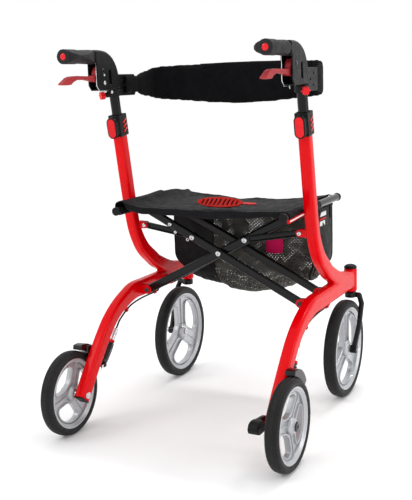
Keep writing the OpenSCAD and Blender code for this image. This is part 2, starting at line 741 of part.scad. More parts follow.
side_frame_left();
side_frame_right();
frame_plugs_left();
frame_plugs_right();
frame_fittings_left();
frame_fittings_right();
adjuster_left();
adjuster_right();
height_button_left();
height_button_right();
handle_post_left();
handle_post_right();
handle_shell_left();
handle_shell_right();
grip_left();
grip_right();
grip_dot_left();
grip_dot_right();
brake_lever_left();
brake_lever_right();
backrest_bracket_left();
backrest_bracket_right();
thumb_screw_left();
thumb_screw_right();
rear_tyre_left();
rear_tyre_right();
rear_rim_left();
rear_rim_right();
rear_axle_left();
rear_axle_right();
front_tyre_left();
front_tyre_right();
front_rim_left();
front_rim_right();
fork_left();
fork_right();
front_axle_left();
front_axle_right();
brake_arm_left();
brake_arm_right();
brake_spring_left();
brake_spring_right();
brake_cable_left();
brake_cable_right();
seat_rail_left();
seat_rail_right();
rail_caps_left();
rail_caps_right();
brace_bars_a();
brace_bars_b();
centre_bolts();
stop_bolts();
control_link_left();
control_link_right();
seat_left();
seat_right();
seat_pull();
bag();
backrest_band();
curb_pedal();
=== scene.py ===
import json
from math import copysign, cos, exp, pi, radians, sin, sqrt, tan

import bmesh
import bpy
from mathutils import Matrix, Vector, noise


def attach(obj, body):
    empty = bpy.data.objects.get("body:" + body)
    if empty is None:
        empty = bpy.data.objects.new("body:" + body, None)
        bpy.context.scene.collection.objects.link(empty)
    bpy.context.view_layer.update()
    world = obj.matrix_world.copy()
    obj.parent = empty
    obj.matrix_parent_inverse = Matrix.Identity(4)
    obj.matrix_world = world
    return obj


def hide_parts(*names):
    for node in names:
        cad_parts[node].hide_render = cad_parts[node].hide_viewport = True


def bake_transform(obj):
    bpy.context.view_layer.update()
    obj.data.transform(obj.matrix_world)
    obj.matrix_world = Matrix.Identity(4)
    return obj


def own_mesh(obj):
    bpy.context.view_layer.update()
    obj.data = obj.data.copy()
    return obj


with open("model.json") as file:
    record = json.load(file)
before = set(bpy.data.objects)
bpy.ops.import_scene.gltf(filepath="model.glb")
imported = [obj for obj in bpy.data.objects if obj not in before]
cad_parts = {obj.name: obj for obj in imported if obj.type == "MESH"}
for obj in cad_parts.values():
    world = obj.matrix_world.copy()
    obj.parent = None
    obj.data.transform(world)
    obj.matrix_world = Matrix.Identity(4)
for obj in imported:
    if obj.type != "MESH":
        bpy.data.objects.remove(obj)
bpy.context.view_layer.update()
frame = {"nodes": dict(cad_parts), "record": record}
nodes = frame["nodes"]
body_of_node = {n: b for b, ns in frame["record"]["behaviour"]["bodies"].items() for n in ns}
slot_of_node = {row["node"]: row["material_slot"] for row in frame["record"]["subparts"]}
scene = bpy.context.scene
scene.view_settings.view_transform = "Standard"
MM = 0.001  # one millimetre in the scene's metres
SIDES = (("left", -1), ("right", 1))

# ------------ camera, light and floor
yaw, pitch, roll = radians(26.77), radians(10.65), radians(-1.855)
forward = Vector((-sin(yaw) * cos(pitch), cos(yaw) * cos(pitch), -sin(pitch)))
level = Vector((cos(yaw), sin(yaw), 0))
upward = level.cross(forward)
right = cos(roll) * level + sin(roll) * upward
up = -sin(roll) * level + cos(roll) * upward
camera = bpy.data.objects.new("camera", bpy.data.cameras.new("camera"))
camera.data.sensor_fit = "VERTICAL"
camera.data.sensor_height = 36
camera.data.lens = 65.03
turn = Matrix((right, up, -forward)).transposed()
camera.matrix_world = Matrix.Translation((0.9530, -1.9566, 0.8280)) @ turn.to_4x4()
scene.collection.objects.link(camera)
scene.camera = camera


def area_light(name, at, look, size, power):
    lamp = bpy.data.lights.new(name, "AREA")
    lamp.shape = "RECTANGLE"
    lamp.size, lamp.size_y = size
    lamp.energy = power
    o = bpy.data.objects.new(name, lamp)
    o.location = at
    o.rotation_euler = (Vector(look) - Vector(at)).to_track_quat("-Z", "Y").to_euler()
    scene.collection.objects.link(o)


area_light("key", (-1.9, -2.2, 2.6), (0, 0, 0.4), (1.4, 1.4), 20)
area_light("side", (3.0, 0.3, 1.2), (0, 0, 0.5), (0.7, 2.2), 16)
area_light("overhead", (0.45, 1.4, 3.2), (0, 0, 0.4), (1.5, 0.06), 26)

world = bpy.data.worlds.new("studio")
scene.world = world
world.use_nodes = True
world.node_tree.nodes["Background"].inputs["Color"].default_value = (1, 1, 1, 1)
world.node_tree.nodes["Background"].inputs["Strength"].default_value = 1.0


# ------------ materials
def shader(name, color, rough, metal=0.0, spec=0.5, **sockets):
    m = bpy.data.materials.new(name)
    m.use_nodes = True
    bsdf = m.node_tree.nodes["Principled BSDF"]
    bsdf.inputs["Base Color"].default_value = (*color, 1)
    bsdf.inputs["Roughness"].default_value = rough
    bsdf.inputs["Metallic"].default_value = metal
    bsdf.inputs["Specular IOR Level"].default_value = spec
    for key, value in sockets.items():
        bsdf.inputs[key.replace("_", " ")].default_value = value
    return m


def node(m, kind, **values):
    n = m.node_tree.nodes.new(kind)
    for key, value in values.items():
        if hasattr(n, key):
            setattr(n, key, value)
        else:
            n.inputs[key.replace("_", " ")].default_value = value
    return n


def wire(m, a, b):
    m.node_tree.links.new(a, b)


def place_of(m, stretch=(1, 1, 1)):
    t = node(m, "ShaderNodeTexCoord")
    s = node(m, "ShaderNodeMapping")
    s.inputs["Scale"].default_value = stretch
    wire(m, t.outputs["Object"], s.inputs["Vector"])
    return s.outputs["Vector"]


def speckle(m, where, scale, detail=2.0, rough=0.5):
    n = node(m, "ShaderNodeTexNoise", Scale=scale, Detail=detail, Roughness=rough)
    wire(m, where, n.inputs["Vector"])
    return n.outputs["Fac"]


def stripes(m, where, scale, axis):
    n = node(m, "ShaderNodeTexWave", Scale=scale, bands_direction=axis)
    wire(m, where, n.inputs["Vector"])
    return n.outputs["Fac"]


def ramp(m, fac, low, high, start=0.3, end=0.7):
    r = node(m, "ShaderNodeValToRGB")
    r.color_ramp.elements[0].position, r.color_ramp.elements[1].position = start, end
    r.color_ramp.elements[0].color, r.color_ramp.elements[1].color = (*low, 1), (*high, 1)
    wire(m, fac, r.inputs["Fac"])
    return r.outputs["Color"]


def spread(m, fac, low, high, start=0.3, end=0.7):
    r = node(m, "ShaderNodeMapRange")
    for i, v in enumerate((start, end, low, high)):
        r.inputs[i + 1].default_value = v
    wire(m, fac, r.inputs[0])
    return r.outputs[0]


def combine(m, operation, a, b):
    n = node(m, "ShaderNodeMath", operation=operation)
    for i, v in enumerate((a, b)):
        if isinstance(v, (int, float)):
            n.inputs[i].default_value = v
        else:
            wire(m, v, n.inputs[i])
    return n.outputs[0]


def relief(m, height, depth, strength=1.0, under=None):
    b = node(m, "ShaderNodeBump", Distance=depth * MM, Strength=strength)
    wire(m, height, b.inputs["Height"])
    if under is not None:
        wire(m, under, b.inputs["Normal"])
    return b.outputs["Normal"]


def into(m, socket, value):
    wire(m, value, m.node_tree.nodes["Principled BSDF"].inputs[socket])


def worn(name, color, rough, grain, depth, vary=0.15, edge=None, metal=0.0, patch=14, **sockets):
    """Moulded or coated finish: mottled colour, uneven gloss, fine grain and paler rubbed edges."""
    m = shader(name, color, rough, metal, **sockets)
    where = place_of(m)
    broad = speckle(m, where, patch, 4.0)
    low = tuple(c * (1 - vary) for c in color)
    high = tuple(min(c * (1 + vary), 1) for c in color)
    tint = ramp(m, broad, low, high)
    if edge:
        shape = node(m, "ShaderNodeNewGeometry")
        mask = spread(m, shape.outputs["Pointiness"], 0.0, 0.8, 0.52, 0.60)
        rub = combine(m, "MULTIPLY", mask, speckle(m, where, 160, 3.0))
        mix = node(m, "ShaderNodeMix", data_type="RGBA")
        wire(m, rub, mix.inputs["Factor"])
        wire(m, tint, mix.inputs["A"])
        mix.inputs["B"].default_value = (*edge, 1)
        tint = mix.outputs["Result"]
    into(m, "Base Color", tint)
    mid = speckle(m, where, patch * 6, 3.0)
    into(m, "Roughness", spread(m, mid, rough * 0.82, min(rough * 1.22, 1)))
    into(m, "Normal", relief(m, speckle(m, where, grain, 3.0), depth))
    return m


WAVE_PERIOD = 0.314  # width of one stripe of the wave texture at scale 1


def woven(name, dark, light, rough, pitch, depth, crease=0.0, axes=("X", "Y"), **sockets):
    """Plain-weave cloth: crossing threads over slack creases, with faded and darker areas."""
    m = shader(name, light, rough, **sockets)
    where = place_of(m)
    scale = WAVE_PERIOD / (pitch * MM)
    threads = combine(m, "MAXIMUM", stripes(m, where, scale, axes[0]), stripes(m, where, scale, axes[1]))
    shade = combine(m, "MULTIPLY", threads, spread(m, speckle(m, where, 22, 5.0), 0.55, 1.0))
    into(m, "Base Color", ramp(m, shade, dark, light, 0.1, 0.9))
    into(m, "Roughness", spread(m, speckle(m, where, 60, 3.0), rough * 0.85, min(rough * 1.15, 1)))
    normal = relief(m, threads, depth)
    if crease:
        slack = speckle(m, place_of(m, (1, 1.7, 1.7)), 26, 6.0, 0.6)
        normal = relief(m, slack, crease, 0.7, normal)
    into(m, "Normal", normal)
    return m


RED = worn("red_paint", (0.71, 0.0, 0.003), 0.24, 900, 0.05, 0.05, (0.78, 0.008, 0.01), patch=6,
           spec=0.09, Coat_Weight=0.10, Coat_Roughness=0.06)
RED_PLASTIC = worn("red_plastic", (0.72, 0.010, 0.016), 0.38, 1500, 0.06, 0.1, (0.8, 0.06, 0.05), spec=0.2)
PAD_RED = worn("pad_red", (0.42, 0.010, 0.006), 0.42, 1500, 0.06, 0.12, (0.5, 0.03, 0.02), spec=0.16)
RED_GLOSS = worn("red_gloss", (0.72, 0.0, 0.006), 0.16, 900, 0.03, 0.05, spec=0.3,
                 Coat_Weight=0.3)
LEVER = worn("lever_red", (0.36, 0.022, 0.028), 0.5, 1100, 0.12, 0.16, (0.55, 0.12, 0.12), spec=0.25)
BLACK = worn("black_paint", (0.003, 0.003, 0.0035), 0.17, 1200, 0.05, 0.2, (0.02, 0.02, 0.022), spec=0.24)
PLASTIC = worn("black_plastic", (0.005, 0.005, 0.0055), 0.42, 1400, 0.12, 0.15, (0.028, 0.028, 0.03),
               spec=0.17)
GLOSS = worn("black_gloss", (0.004, 0.004, 0.004), 0.16, 900, 0.03, 0.2, (0.03, 0.03, 0.03), spec=0.4)
GRIP = worn("grip_rubber", (0.012, 0.012, 0.013), 0.6, 750, 0.35, 0.12, (0.03, 0.03, 0.032), spec=0.24)
TYRE = worn("tyre", (0.011, 0.011, 0.012), 0.56, 1300, 0.12, 0.18, (0.03, 0.03, 0.031), patch=30, spec=0.24)
RIM = worn("rim_silver", (0.47, 0.48, 0.50), 0.36, 1500, 0.06, 0.06, (0.68, 0.69, 0.7), 0.55, Coat_Weight=0.2)
POST = worn("black_post", (0.002, 0.002, 0.002), 0.2, 900, 0.02, 0.2, spec=0.22)
STEEL = worn("steel", (0.62, 0.63, 0.65), 0.26, 700, 0.04, 0.1, (0.8, 0.8, 0.82), 1.0)
DARK_STEEL = worn("black_steel", (0.03, 0.03, 0.032), 0.34, 800, 0.05, 0.2, (0.12, 0.12, 0.13), 0.4)
CABLE = worn("cable_sheath", (0.005, 0.005, 0.006), 0.42, 1600, 0.05, 0.2, spec=0.24)
NYLON = woven("nylon", (0.002, 0.002, 0.0025), (0.008, 0.008, 0.0095), 0.62, 0.9, 0.12, 1.6, spec=0.09)
SIDE_NYLON = woven("side_nylon", (0.002, 0.002, 0.0025), (0.009, 0.009, 0.010), 0.6, 0.9, 0.12, 1.4,
                   ("X", "Z"), spec=0.14, Sheen_Weight=0.03)
BAND = woven("band_knit", (0.0015, 0.0015, 0.002), (0.005, 0.005, 0.006), 0.8, 1.4, 0.2, 0.5, ("X", "Z"),
             spec=0.06, Sheen_Weight=0.02, Sheen_Roughness=0.5)
WEBBING = woven("webbing", (0.003, 0.003, 0.004), (0.010, 0.010, 0.012), 0.7, 1.6, 0.3, spec=0.12)
RED_WEB = woven("red_webbing", (0.34, 0.002, 0.002), (0.68, 0.004, 0.004), 0.55, 1.6, 0.3, spec=0.12)
PATCH = woven("patch_cloth", (0.42, 0.003, 0.06), (0.70, 0.006, 0.12), 0.7, 1.2, 0.3, 0.4, ("X", "Z"),
              spec=0.12)
LABEL = woven("label_cloth", (0.62, 0.62, 0.62), (0.84, 0.84, 0.83), 0.7, 0.8, 0.1, 0.2, ("Y", "Z"))


def net_cloth():
    """See-through diamond net: two families of pale-edged dark cords with open holes between them."""
    m = shader("bag_mesh", (0.01, 0.01, 0.01), 0.55, spec=0.2, Sheen_Weight=0.05)
    where = place_of(m)
    pitch = 6.2 * MM
    # both leans are the square root of 2 long in the plane of the bag's back
    turns = 2 * pi / (pitch * 1.414)
    cords = []
    for k, lean in enumerate(((1, 1, 1), (1, -1, -1))):
        along = node(m, "ShaderNodeVectorMath", operation="DOT_PRODUCT")
        wire(m, where, along.inputs[0])
        along.inputs[1].default_value = lean
        warp = combine(m, "MULTIPLY", speckle(m, where, 14 + 5 * k, 3.0), 0.012)
        phase = combine(m, "MULTIPLY", combine(m, "ADD", along.outputs["Value"], warp), turns)
        cords.append(combine(m, "SINE", phase, 0.0))
    cover = combine(m, "MAXIMUM", *cords)
    slack = speckle(m, place_of(m, (1, 1, 1.8)), 30, 5.0, 0.6)
    dense = spread(m, slack, -0.45, 0.12, 0.3, 0.75)
    shade = combine(m, "MULTIPLY", cover, slack)
    into(m, "Base Color", ramp(m, shade, (0.002, 0.002, 0.002), (0.10, 0.097, 0.08), 0.12, 0.62))
    into(m, "Normal", relief(m, slack, 2.0, 0.8))
    into(m, "Alpha", combine(m, "GREATER_THAN", cover, dense))
    return m


NET = net_cloth()
FINISH = {"red_paint": RED, "black_plastic": PLASTIC, "black_gloss": GLOSS, "red_plastic": RED_PLASTIC,
          "lever_red": LEVER, "black_paint": BLACK, "grip_rubber": GRIP, "tyre": TYRE, "rim_silver": RIM,
          "steel": STEEL, "black_steel": DARK_STEEL, "cable_sheath": CABLE, "nylon": NYLON, "bag_mesh": NET,
          "padded_band": BAND}

floor_finish = shader("floor", (1.0, 1.0, 1.0), 0.9, spec=0.0)
bpy.ops.mesh.primitive_plane_add(size=40)
floor = bpy.context.object
floor.name = "floor"
floor.data.materials.append(floor_finish)


# ------------ mesh helpers, lengths in millimetres
def build(name, geometry, mats, body=None, replaces=(), smooth=True, mat_of=None, flip=True):
    """One piece from (vertices, faces): mats are its materials and mat_of picks one for each face."""
    verts, faces = geometry
    mesh = bpy.data.meshes.new(name)
    mesh.from_pydata([[c * MM for c in v] for v in verts], [], faces)
    mats = mats if isinstance(mats, (list, tuple)) else [mats]
    for m in mats:
        mesh.materials.append(m)
    if mat_of:
        for p in mesh.polygons:
            p.material_index = mat_of(p.center / MM)
    if flip:
        bm = bmesh.new()
        bm.from_mesh(mesh)
        bmesh.ops.recalc_face_normals(bm, faces=bm.faces)
        bm.to_mesh(mesh)
        bm.free()
    for p in mesh.polygons:
        p.use_smooth = smooth
    o = bpy.data.objects.new(name, mesh)
    scene.collection.objects.link(o)
    for n in replaces:
        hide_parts(n)
    if body:
        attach(o, body)
    return o


def apply_all(o):
    """Turns o's modifiers into its own mesh."""
    graph = bpy.context.evaluated_depsgraph_get()
    mesh = bpy.data.meshes.new_from_object(o.evaluated_get(graph))
    o.modifiers.clear()
    o.data = mesh
    return o


def modify(o, kind, **values):
    mod = o.modifiers.new(kind, kind)
    for key, value in values.items():
        setattr(mod, key, value)
    return mod


def melt(o, voxel, rounds):
    """Fuses o's shells into one skin with soft edges."""
    modify(o, "REMESH", mode="VOXEL", voxel_size=voxel * MM, use_smooth_shade=True)
    modify(o, "SMOOTH", factor=0.5, iterations=rounds)
    return apply_all(o)


def soften(node_name, voxel, rounds):
    """The CAD part's own shape with its edges rounded as a moulding or a bent bar has them."""
    mesh = nodes[node_name].data.copy()
    bm = bmesh.new()
    bm.from_mesh(mesh)
    bmesh.ops.remove_doubles(bm, verts=bm.verts, dist=2e-6)
    bm.to_mesh(mesh)
    bm.free()
    o = bpy.data.objects.new("soft_" + node_name, mesh)
    scene.collection.objects.link(o)
    melt(o, voxel, rounds)
    o.data.materials.clear()
    o.data.materials.append(FINISH[slot_of_node[node_name]])
    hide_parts(node_name)
    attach(o, body_of_node[node_name])


def joined(*parts):
    verts, faces = [], []
    for v, f in parts:
        faces += [[i + len(verts) for i in q] for q in f]
        verts += list(v)
    return verts, faces


def moved(geometry, matrix):
    return [tuple(matrix @ Vector(v)) for v in geometry[0]], geometry[1]


def mirrored(geometry, s):
    return [(s * v[0], v[1], v[2]) for v in geometry[0]], geometry[1]


def facing(at, direction):
    """Places a shape made along +Z at a point, pointing along direction."""
    return Matrix.Translation(at) @ Vector(direction).to_track_quat("Z", "Y").to_matrix().to_4x4()


def skin(rings, closed_along=False):
    """Faces between rings of equal length, each ring closed, with end caps where the row of rings is open."""
    n, m = len(rings), len(rings[0])
    verts = [v for r in rings for v in r]
    faces = [[i * m + j, i * m + (j + 1) % m, (i + 1) % n * m + (j + 1) % m, (i + 1) % n * m + j]
             for i in range(n if closed_along else n - 1) for j in range(m)]
    if not closed_along:
        faces += [list(range(m))[::-1], [(n - 1) * m + j for j in range(m)]]
    return verts, faces


def grid(rows):
    """Faces of an open sheet from rows of points."""
    n, m = len(rows), len(rows[0])
    return ([v for r in rows for v in r],
            [[i * m + j, i * m + j + 1, (i + 1) * m + j + 1, (i + 1) * m + j]
             for i in range(n - 1) for j in range(m - 1)])


def lathe(profile, segments=48):
    """Profile of (radius, height) turned about Z."""
    rings = [[(r * cos(2 * pi * k / segments), r * sin(2 * pi * k / segments), h)
              for k in range(segments)] for r, h in profile]
    return skin(rings)


def ring_lathe(profile, segments=96):
    """Closed profile turned about Z into a ring."""
    rings = [[(r * cos(2 * pi * k / segments), r * sin(2 * pi * k / segments), h)
              for r, h in profile] for k in range(segments)]
    return skin(rings, closed_along=True)


def signed_power(v, e):
    return copysign(abs(v) ** e, v)


def oval(w, h, e=1.0, n=24):
    """Outline between an ellipse (e = 1) and a rounded rectangle (e near 0.3)."""
    return [(w / 2 * signed_power(cos(2 * pi * k / n), e),
             h / 2 * signed_power(sin(2 * pi * k / n), e)) for k in range(n)]


def spline(points, n):
    """Smooth path through control points of any dimension."""
    out = []
    for i in range(len(points) - 1):
        a, b = points[max(i - 1, 0)], points[i]
        c, d = points[i + 1], points[min(i + 2, len(points) - 1)]
        for k in range(n):
            u = k / n
            out.append(tuple(
                0.5 * (2 * q + (r - p) * u + (2 * p - 5 * q + 4 * r - s) * u * u
                       + (3 * q - p - 3 * r + s) * u ** 3) for p, q, r, s in zip(a, b, c, d)))
    return out + [tuple(points[-1])]


def sweep(path, outline, side=(1, 0, 0), sizes=None, closed=False):
    """Outline of (across, out) carried along a path. side is the direction that across keeps to."""
    pts = [Vector(p) for p in path]
    rings = []
    for i, p in enumerate(pts):
        ahead = pts[(i + 1) % len(pts)] if closed else pts[min(i + 1, len(pts) - 1)]
        behind = pts[i - 1] if closed else pts[max(i - 1, 0)]
        along = (ahead - behind).normalized()
        across = Vector(side) - along * Vector(side).dot(along)
        across.normalize()
        out = along.cross(across)
        k = sizes[i] if sizes else (1, 1)
        rings.append([tuple(p + across * (a * k[0]) + out * (b * k[1])) for a, b in outline])
    return skin(rings, closed_along=closed)


def bevelled(o, width):
    """Rounds o's sharp edges and keeps its flat faces flat."""
    modify(o, "BEVEL", width=width * MM, segments=2, limit_method="ANGLE", angle_limit=0.6)
    apply_all(o)
    for p in o.data.polygons:
        p.use_smooth = True
    modify(o, "WEIGHTED_NORMAL", keep_sharp=True)
    return apply_all(o)


def prism(outline, low, high):
    """Flat outline of (x, z) points given a thickness along Y."""
    return skin([[(x, y, z) for x, z in outline] for y in (low, high)])


def screw_head(at, direction, r, h=2.4, socket=True):
    """Button head of a machine screw with a round socket."""
    hole = [(0.01, h * 0.35), (r * 0.36, h * 0.35), (r * 0.38, h * 0.96)] if socket else [(0.01, h)]
    return moved(lathe([(r, 0), (r, h * 0.3), (r * 0.9, h * 0.68), (r * 0.62, h * 0.94)] + hole[::-1], 32),
                 facing(at, direction))


# ------------ side frames
# centre plane of a side frame, its inner and outer face, and the axes of the seat rail and of the pivots
FX, IN_X, OUT_X = 243.0, 229.0, 257.0
RAIL_X, RAIL_Z = 217.5, 521.64
LOW_X, LOW_Z, LINK_X, LINK_Z = 212.0, 300.0, 212.5, 469.5
HOUSING_Y = 291.5
PAIR_GAP = 124  # from the rear pair of crossed bars to the front pair
LEAN = radians(10.2)
# frame tube from end to end: y, z, depth of its section
UPRIGHT = [(-46.2, 746, 30.5), (-37.9, 700, 30.5), (-23.5, 620, 30.5), (-11.8, 555, 30), (-1, 500, 29),
           (14, 452, 30), (45, 405, 34), (89.5, 370, 36), (117.5, 352, 36), (190.5, 322, 38),
           (HOUSING_Y, 302, 44)]
LEG = [(HOUSING_Y, 300, 44), (180, 301, 44), (90, 301, 43), (40, 301, 43), (-10.5, 301, 42),
       (-51.5, 290.5, 38), (-85.5, 277, 36), (-112.5, 262, 35), (-137.5, 243, 35), (-160.5, 220, 35),
       (-185.5, 192, 35), (-224.5, 146, 35.5), (-267, 92.5, 35.5)]
# cable guides under the leg: y, z, slope in degrees, height of the tab
GUIDES = [(100, 271.5, 0, 12), (-48, 257, 22, 19)]
CABLE_STOP = 36  # distance of the stop along the straight run of the brake cable
RUN_Y, RUN_Z = -0.68, -0.733


def on_cable(d):
    """Point at distance d along the straight run of the brake cable, inside which its spring sits."""
    return (FX, -100 + RUN_Y * d, 222 + RUN_Z * d)


def post_at(z):
    """Point on the sliding axis of a handle post."""
    return (FX, -23.5 - (z - 620) * tan(LEAN), z)


def frame_tube(control):
    path = spline(control, 8)
    return sweep([(FX, y, z) for y, z, d in path], oval(28, 1, 0.42, 40), sizes=[(1, d) for y, z, d in path])


def tab_outline(x, z, r):
    """Round-ended tab from a pivot to the inner face of the frame."""
    turn = [radians(a) for a in range(90, 271, 15)]
    return [(IN_X + 3, z + r * 1.05)] + [(x + r * cos(a), z + r * sin(a)) for a in turn] + [
        (IN_X + 3, z - r * 1.05)]


def frame_body(side, s):
    """Red tube of one side and its swivel housing, fused."""
    housing = lathe([(15, 0), (17.3, 2), (17.3, 60), (16, 62)], 48)
    housing = moved(housing, Matrix.Translation((FX, HOUSING_Y, 268)))
    body = build("frame_" + side, mirrored(joined(frame_tube(UPRIGHT), frame_tube(LEG), housing), s), RED)
    melt(body, 1.7, 9)
    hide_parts("side_frame_" + side)
    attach(body, side + "_frame")


def frame_tabs(side, s, brace_y):
    """Pivot ears, cable guides and cable stop of one side."""
    tabs = []
    for y in (brace_y, brace_y + PAIR_GAP):
        tabs += [prism(tab_outline(LOW_X, LOW_Z, 11), y0, y0 + 3) for y0 in (y - 3.4, y + 10.4)]
    tabs += [prism(tab_outline(LINK_X, LINK_Z, 9), y0, y0 + 3) for y0 in (brace_y - 2.3, brace_y + 9.3)]
    eye = [(5.0, -3), (5.0, 3), (3.3, 3), (3.3, -3)]
    for y, z, slope, tall in GUIDES:
        slope = radians(slope)
        tabs.append(moved(ring_lathe(eye, 24), facing((FX, y, z), (0, cos(slope), sin(slope)))))
        web = [(FX - 2, z + 4), (FX + 2, z + 4), (FX + 2, z + tall), (FX - 2, z + tall)]
        tabs.append(prism(web, y - 3, y + 3))
    stop = Vector(on_cable(CABLE_STOP))
    ring = [(7.2, -2.8), (7.2, 2.8), (3.2, 2.8), (3.2, -2.8)]
    tabs.append(moved(ring_lathe(ring, 32), facing(stop, (0, RUN_Y, RUN_Z))))
    tabs.append(sweep([(FX, -152, 220.6), tuple(stop + Vector((0, -5, 0)))], oval(8, 8, 1, 16)))
    ears = build("frame_tabs_" + side, mirrored(joined(*tabs), s), RED, side + "_frame")
    bevelled(ears, 0.5)
    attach(ears, side + "_frame")


def pivot_heads(side, s, brace_y):
    """Screw heads of the lower pivots, the control link's pivot and the brake's pivot."""
    heads = []
    for y in (brace_y, brace_y + PAIR_GAP):
        heads.append(screw_head((LOW_X, y - 6.4, LOW_Z), (0, -1, 0), 6.4))
        heads.append(screw_head((LOW_X, y + 16.4, LOW_Z), (0, 1, 0), 6.4))
    build("pivot_heads_" + side, mirrored(joined(*heads), s), DARK_STEEL, side + "_frame")
    link_heads = [screw_head((LINK_X, brace_y - 4.9, LINK_Z), (0, -1, 0), 5.4, 2.2),
                  screw_head((LINK_X, brace_y + 14.9, LINK_Z), (0, 1, 0), 5.4, 2.2),
                  screw_head((OUT_X + 5.9, -190, 170), (1, 0, 0), 5.2, 1.0)]
    build("link_heads_" + side, mirrored(joined(*link_heads), s), STEEL, side + "_frame")


for side, s in SIDES:
    ears_y = 11 if s < 0 else 0
    frame_body(side, s)
    frame_tabs(side, s, ears_y)
    pivot_heads(side, s, ears_y)

# ------------ wheels
TYRE_W = 32
REAR_X, REAR_Y, REAR_R = 280.0, -261.5, 101.5
FRONT_X, FRONT_Y, FRONT_R = 243.0, 235.9, 127.0
SEATS = {"rear": 84, "front": 108}  # radius at which the tyre sits on the rim
# degrees by which each rim is turned about its axle at rest, and the directions of its spokes
RIM_START = {"rear_left": 62, "rear_right": 40, "front_left": -35, "front_right": -35}
SPOKES = (95, 215, 335)


def tyre_profile(r, seat):
    """Closed section of a solid tyre: crowned tread with fine grooves, round shoulders."""
    w = TYRE_W / 2
    crown = spline([(seat, w - 3.2), (seat + 4, w - 1), (r - 9, w), (r - 5, w - 1.2), (r - 2, w - 4.6),
                    (r - 0.7, w - 9), (r, 3), (r, 0)], 4)
    cuts = (1.6, 4.2, 6.8, 9.2, 11.4)
    fine = []
    for (ra, xa), (rb, xb) in zip(crown, crown[1:]):
        fine.append((ra, xa))
        for c in cuts:
            if xb <= c < xa and ra > r - 9:
                u = (xa - c) / (xa - xb)
                mid = ra + (rb - ra) * u
                fine += [(mid, c + 0.35), (mid - 1.1, c + 0.25), (mid - 1.1, c - 0.25), (mid, c - 0.35)]
    fine.append(crown[-1])
    return fine + [(a, -b) for a, b in reversed(fine[:-1])]


def window_curve(inner, outer, half_a, mid_a):
    """Rounded opening between two spokes."""
    mid, reach = (inner + outer) / 2, (outer - inner) / 2
    steps = 48
    out = []
    for k in range(steps):
        t = 2 * pi * k / steps
        r = mid + reach * signed_power(sin(t), 0.66)
        a = half_a * signed_power(cos(t), 0.66) * (0.46 + 0.54 * r / outer) + mid_a
        out.append((r * cos(a), r * sin(a)))
    return out


def flat_plate(outer, holes, half, bevel):
    """Mesh of a flat plate with openings, thickness 2 x half along Z and softened edges."""
    data = bpy.data.curves.new("plate", "CURVE")
    data.dimensions = "2D"
    data.fill_mode = "BOTH"
    data.extrude = (half - bevel) * MM
    data.bevel_depth = bevel * MM
    data.offset = -bevel * MM
    data.bevel_resolution = 2
    for outline in [outer, *holes]:
        line = data.splines.new("POLY")
        line.points.add(len(outline) - 1)
        for p, (x, y) in zip(line.points, outline):
            p.co = (x * MM, y * MM, 0, 1)
        line.use_cyclic_u = True
    o = bpy.data.objects.new("plate", data)
    scene.collection.objects.link(o)
    mesh = bpy.data.meshes.new_from_object(o.evaluated_get(bpy.context.evaluated_depsgraph_get()))
    bpy.data.objects.remove(o)
    geometry = [tuple(v.co / MM) for v in mesh.vertices], [list(p.vertices) for p in mesh.polygons]
    bpy.data.meshes.remove(mesh)
    return geometry


def rim_shape(seat, hub_r):
    """Moulded three-spoke rim about Z, mid-plane at Z = 0."""
    lip = [(0.1, 13.6), (3.0, 14.2), (4.6, 13.2), (7.4, 9.6), (9.6, 8.4), (10.6, 5)]
    lip = [(seat - d, -h) for d, h in lip] + [(seat - d, h) for d, h in reversed(lip)]
    parts = [ring_lathe(lip, 128)]
    web_r = seat - 9
    windows = [window_curve(hub_r + 6.5, seat - 13.5, radians(50), radians(a - 60)) for a in SPOKES]
    parts.append(flat_plate(oval(2 * web_r, 2 * web_r, 1, 96), windows, 2.6, 0.8))
    for w in windows:
        edge = [(x, y, 0) for x, y in w]
        parts.append(sweep(edge, oval(15, 3.6, 0.5, 16), side=(0, 0, 1), closed=True))
    hub = [(7.6, 13.4), (9.4, 15.6), (hub_r - 4.4, 15.6), (hub_r - 3.2, 13.6), (hub_r - 1.6, 13.2),
           (hub_r, 11.4), (hub_r + 1.4, 6)]
    parts.append(ring_lathe(hub + [(r, -h) for r, h in reversed(hub)], 64))
    for a in SPOKES:
        turn_a = radians(a)
        c, d = cos(turn_a), sin(turn_a)
        rib = [(c * r, d * r, 0) for r in (hub_r - 2, (hub_r + seat) / 2, seat - 10)]
        parts.append(sweep(spline(rib, 6), oval(11, 2.6, 0.6, 12), side=(0, 0, 1)))
    return joined(*parts)


def wheel(which, side, at, r, rim, spin):
    """Tyre and spoked rim of one wheel, turning with the body spin."""
    axle = Matrix.Translation(at)
    across = Matrix.Rotation(pi / 2, 4, "Y")
    tyre = ring_lathe(tyre_profile(r, SEATS[which]), 128)
    build(f"{which}_tread_{side}", moved(tyre, axle @ across), TYRE, spin, [f"{which}_tyre_{side}"])
    start = Matrix.Rotation(radians(RIM_START[f"{which}_{side}"]), 4, "X")
    spokes = build(f"{which}_spokes_{side}", moved(rim, axle @ start @ across), RIM, None,
                   [f"{which}_rim_{side}"])
    modify(spokes, "EDGE_SPLIT", split_angle=0.7)
    apply_all(spokes)
    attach(spokes, spin)


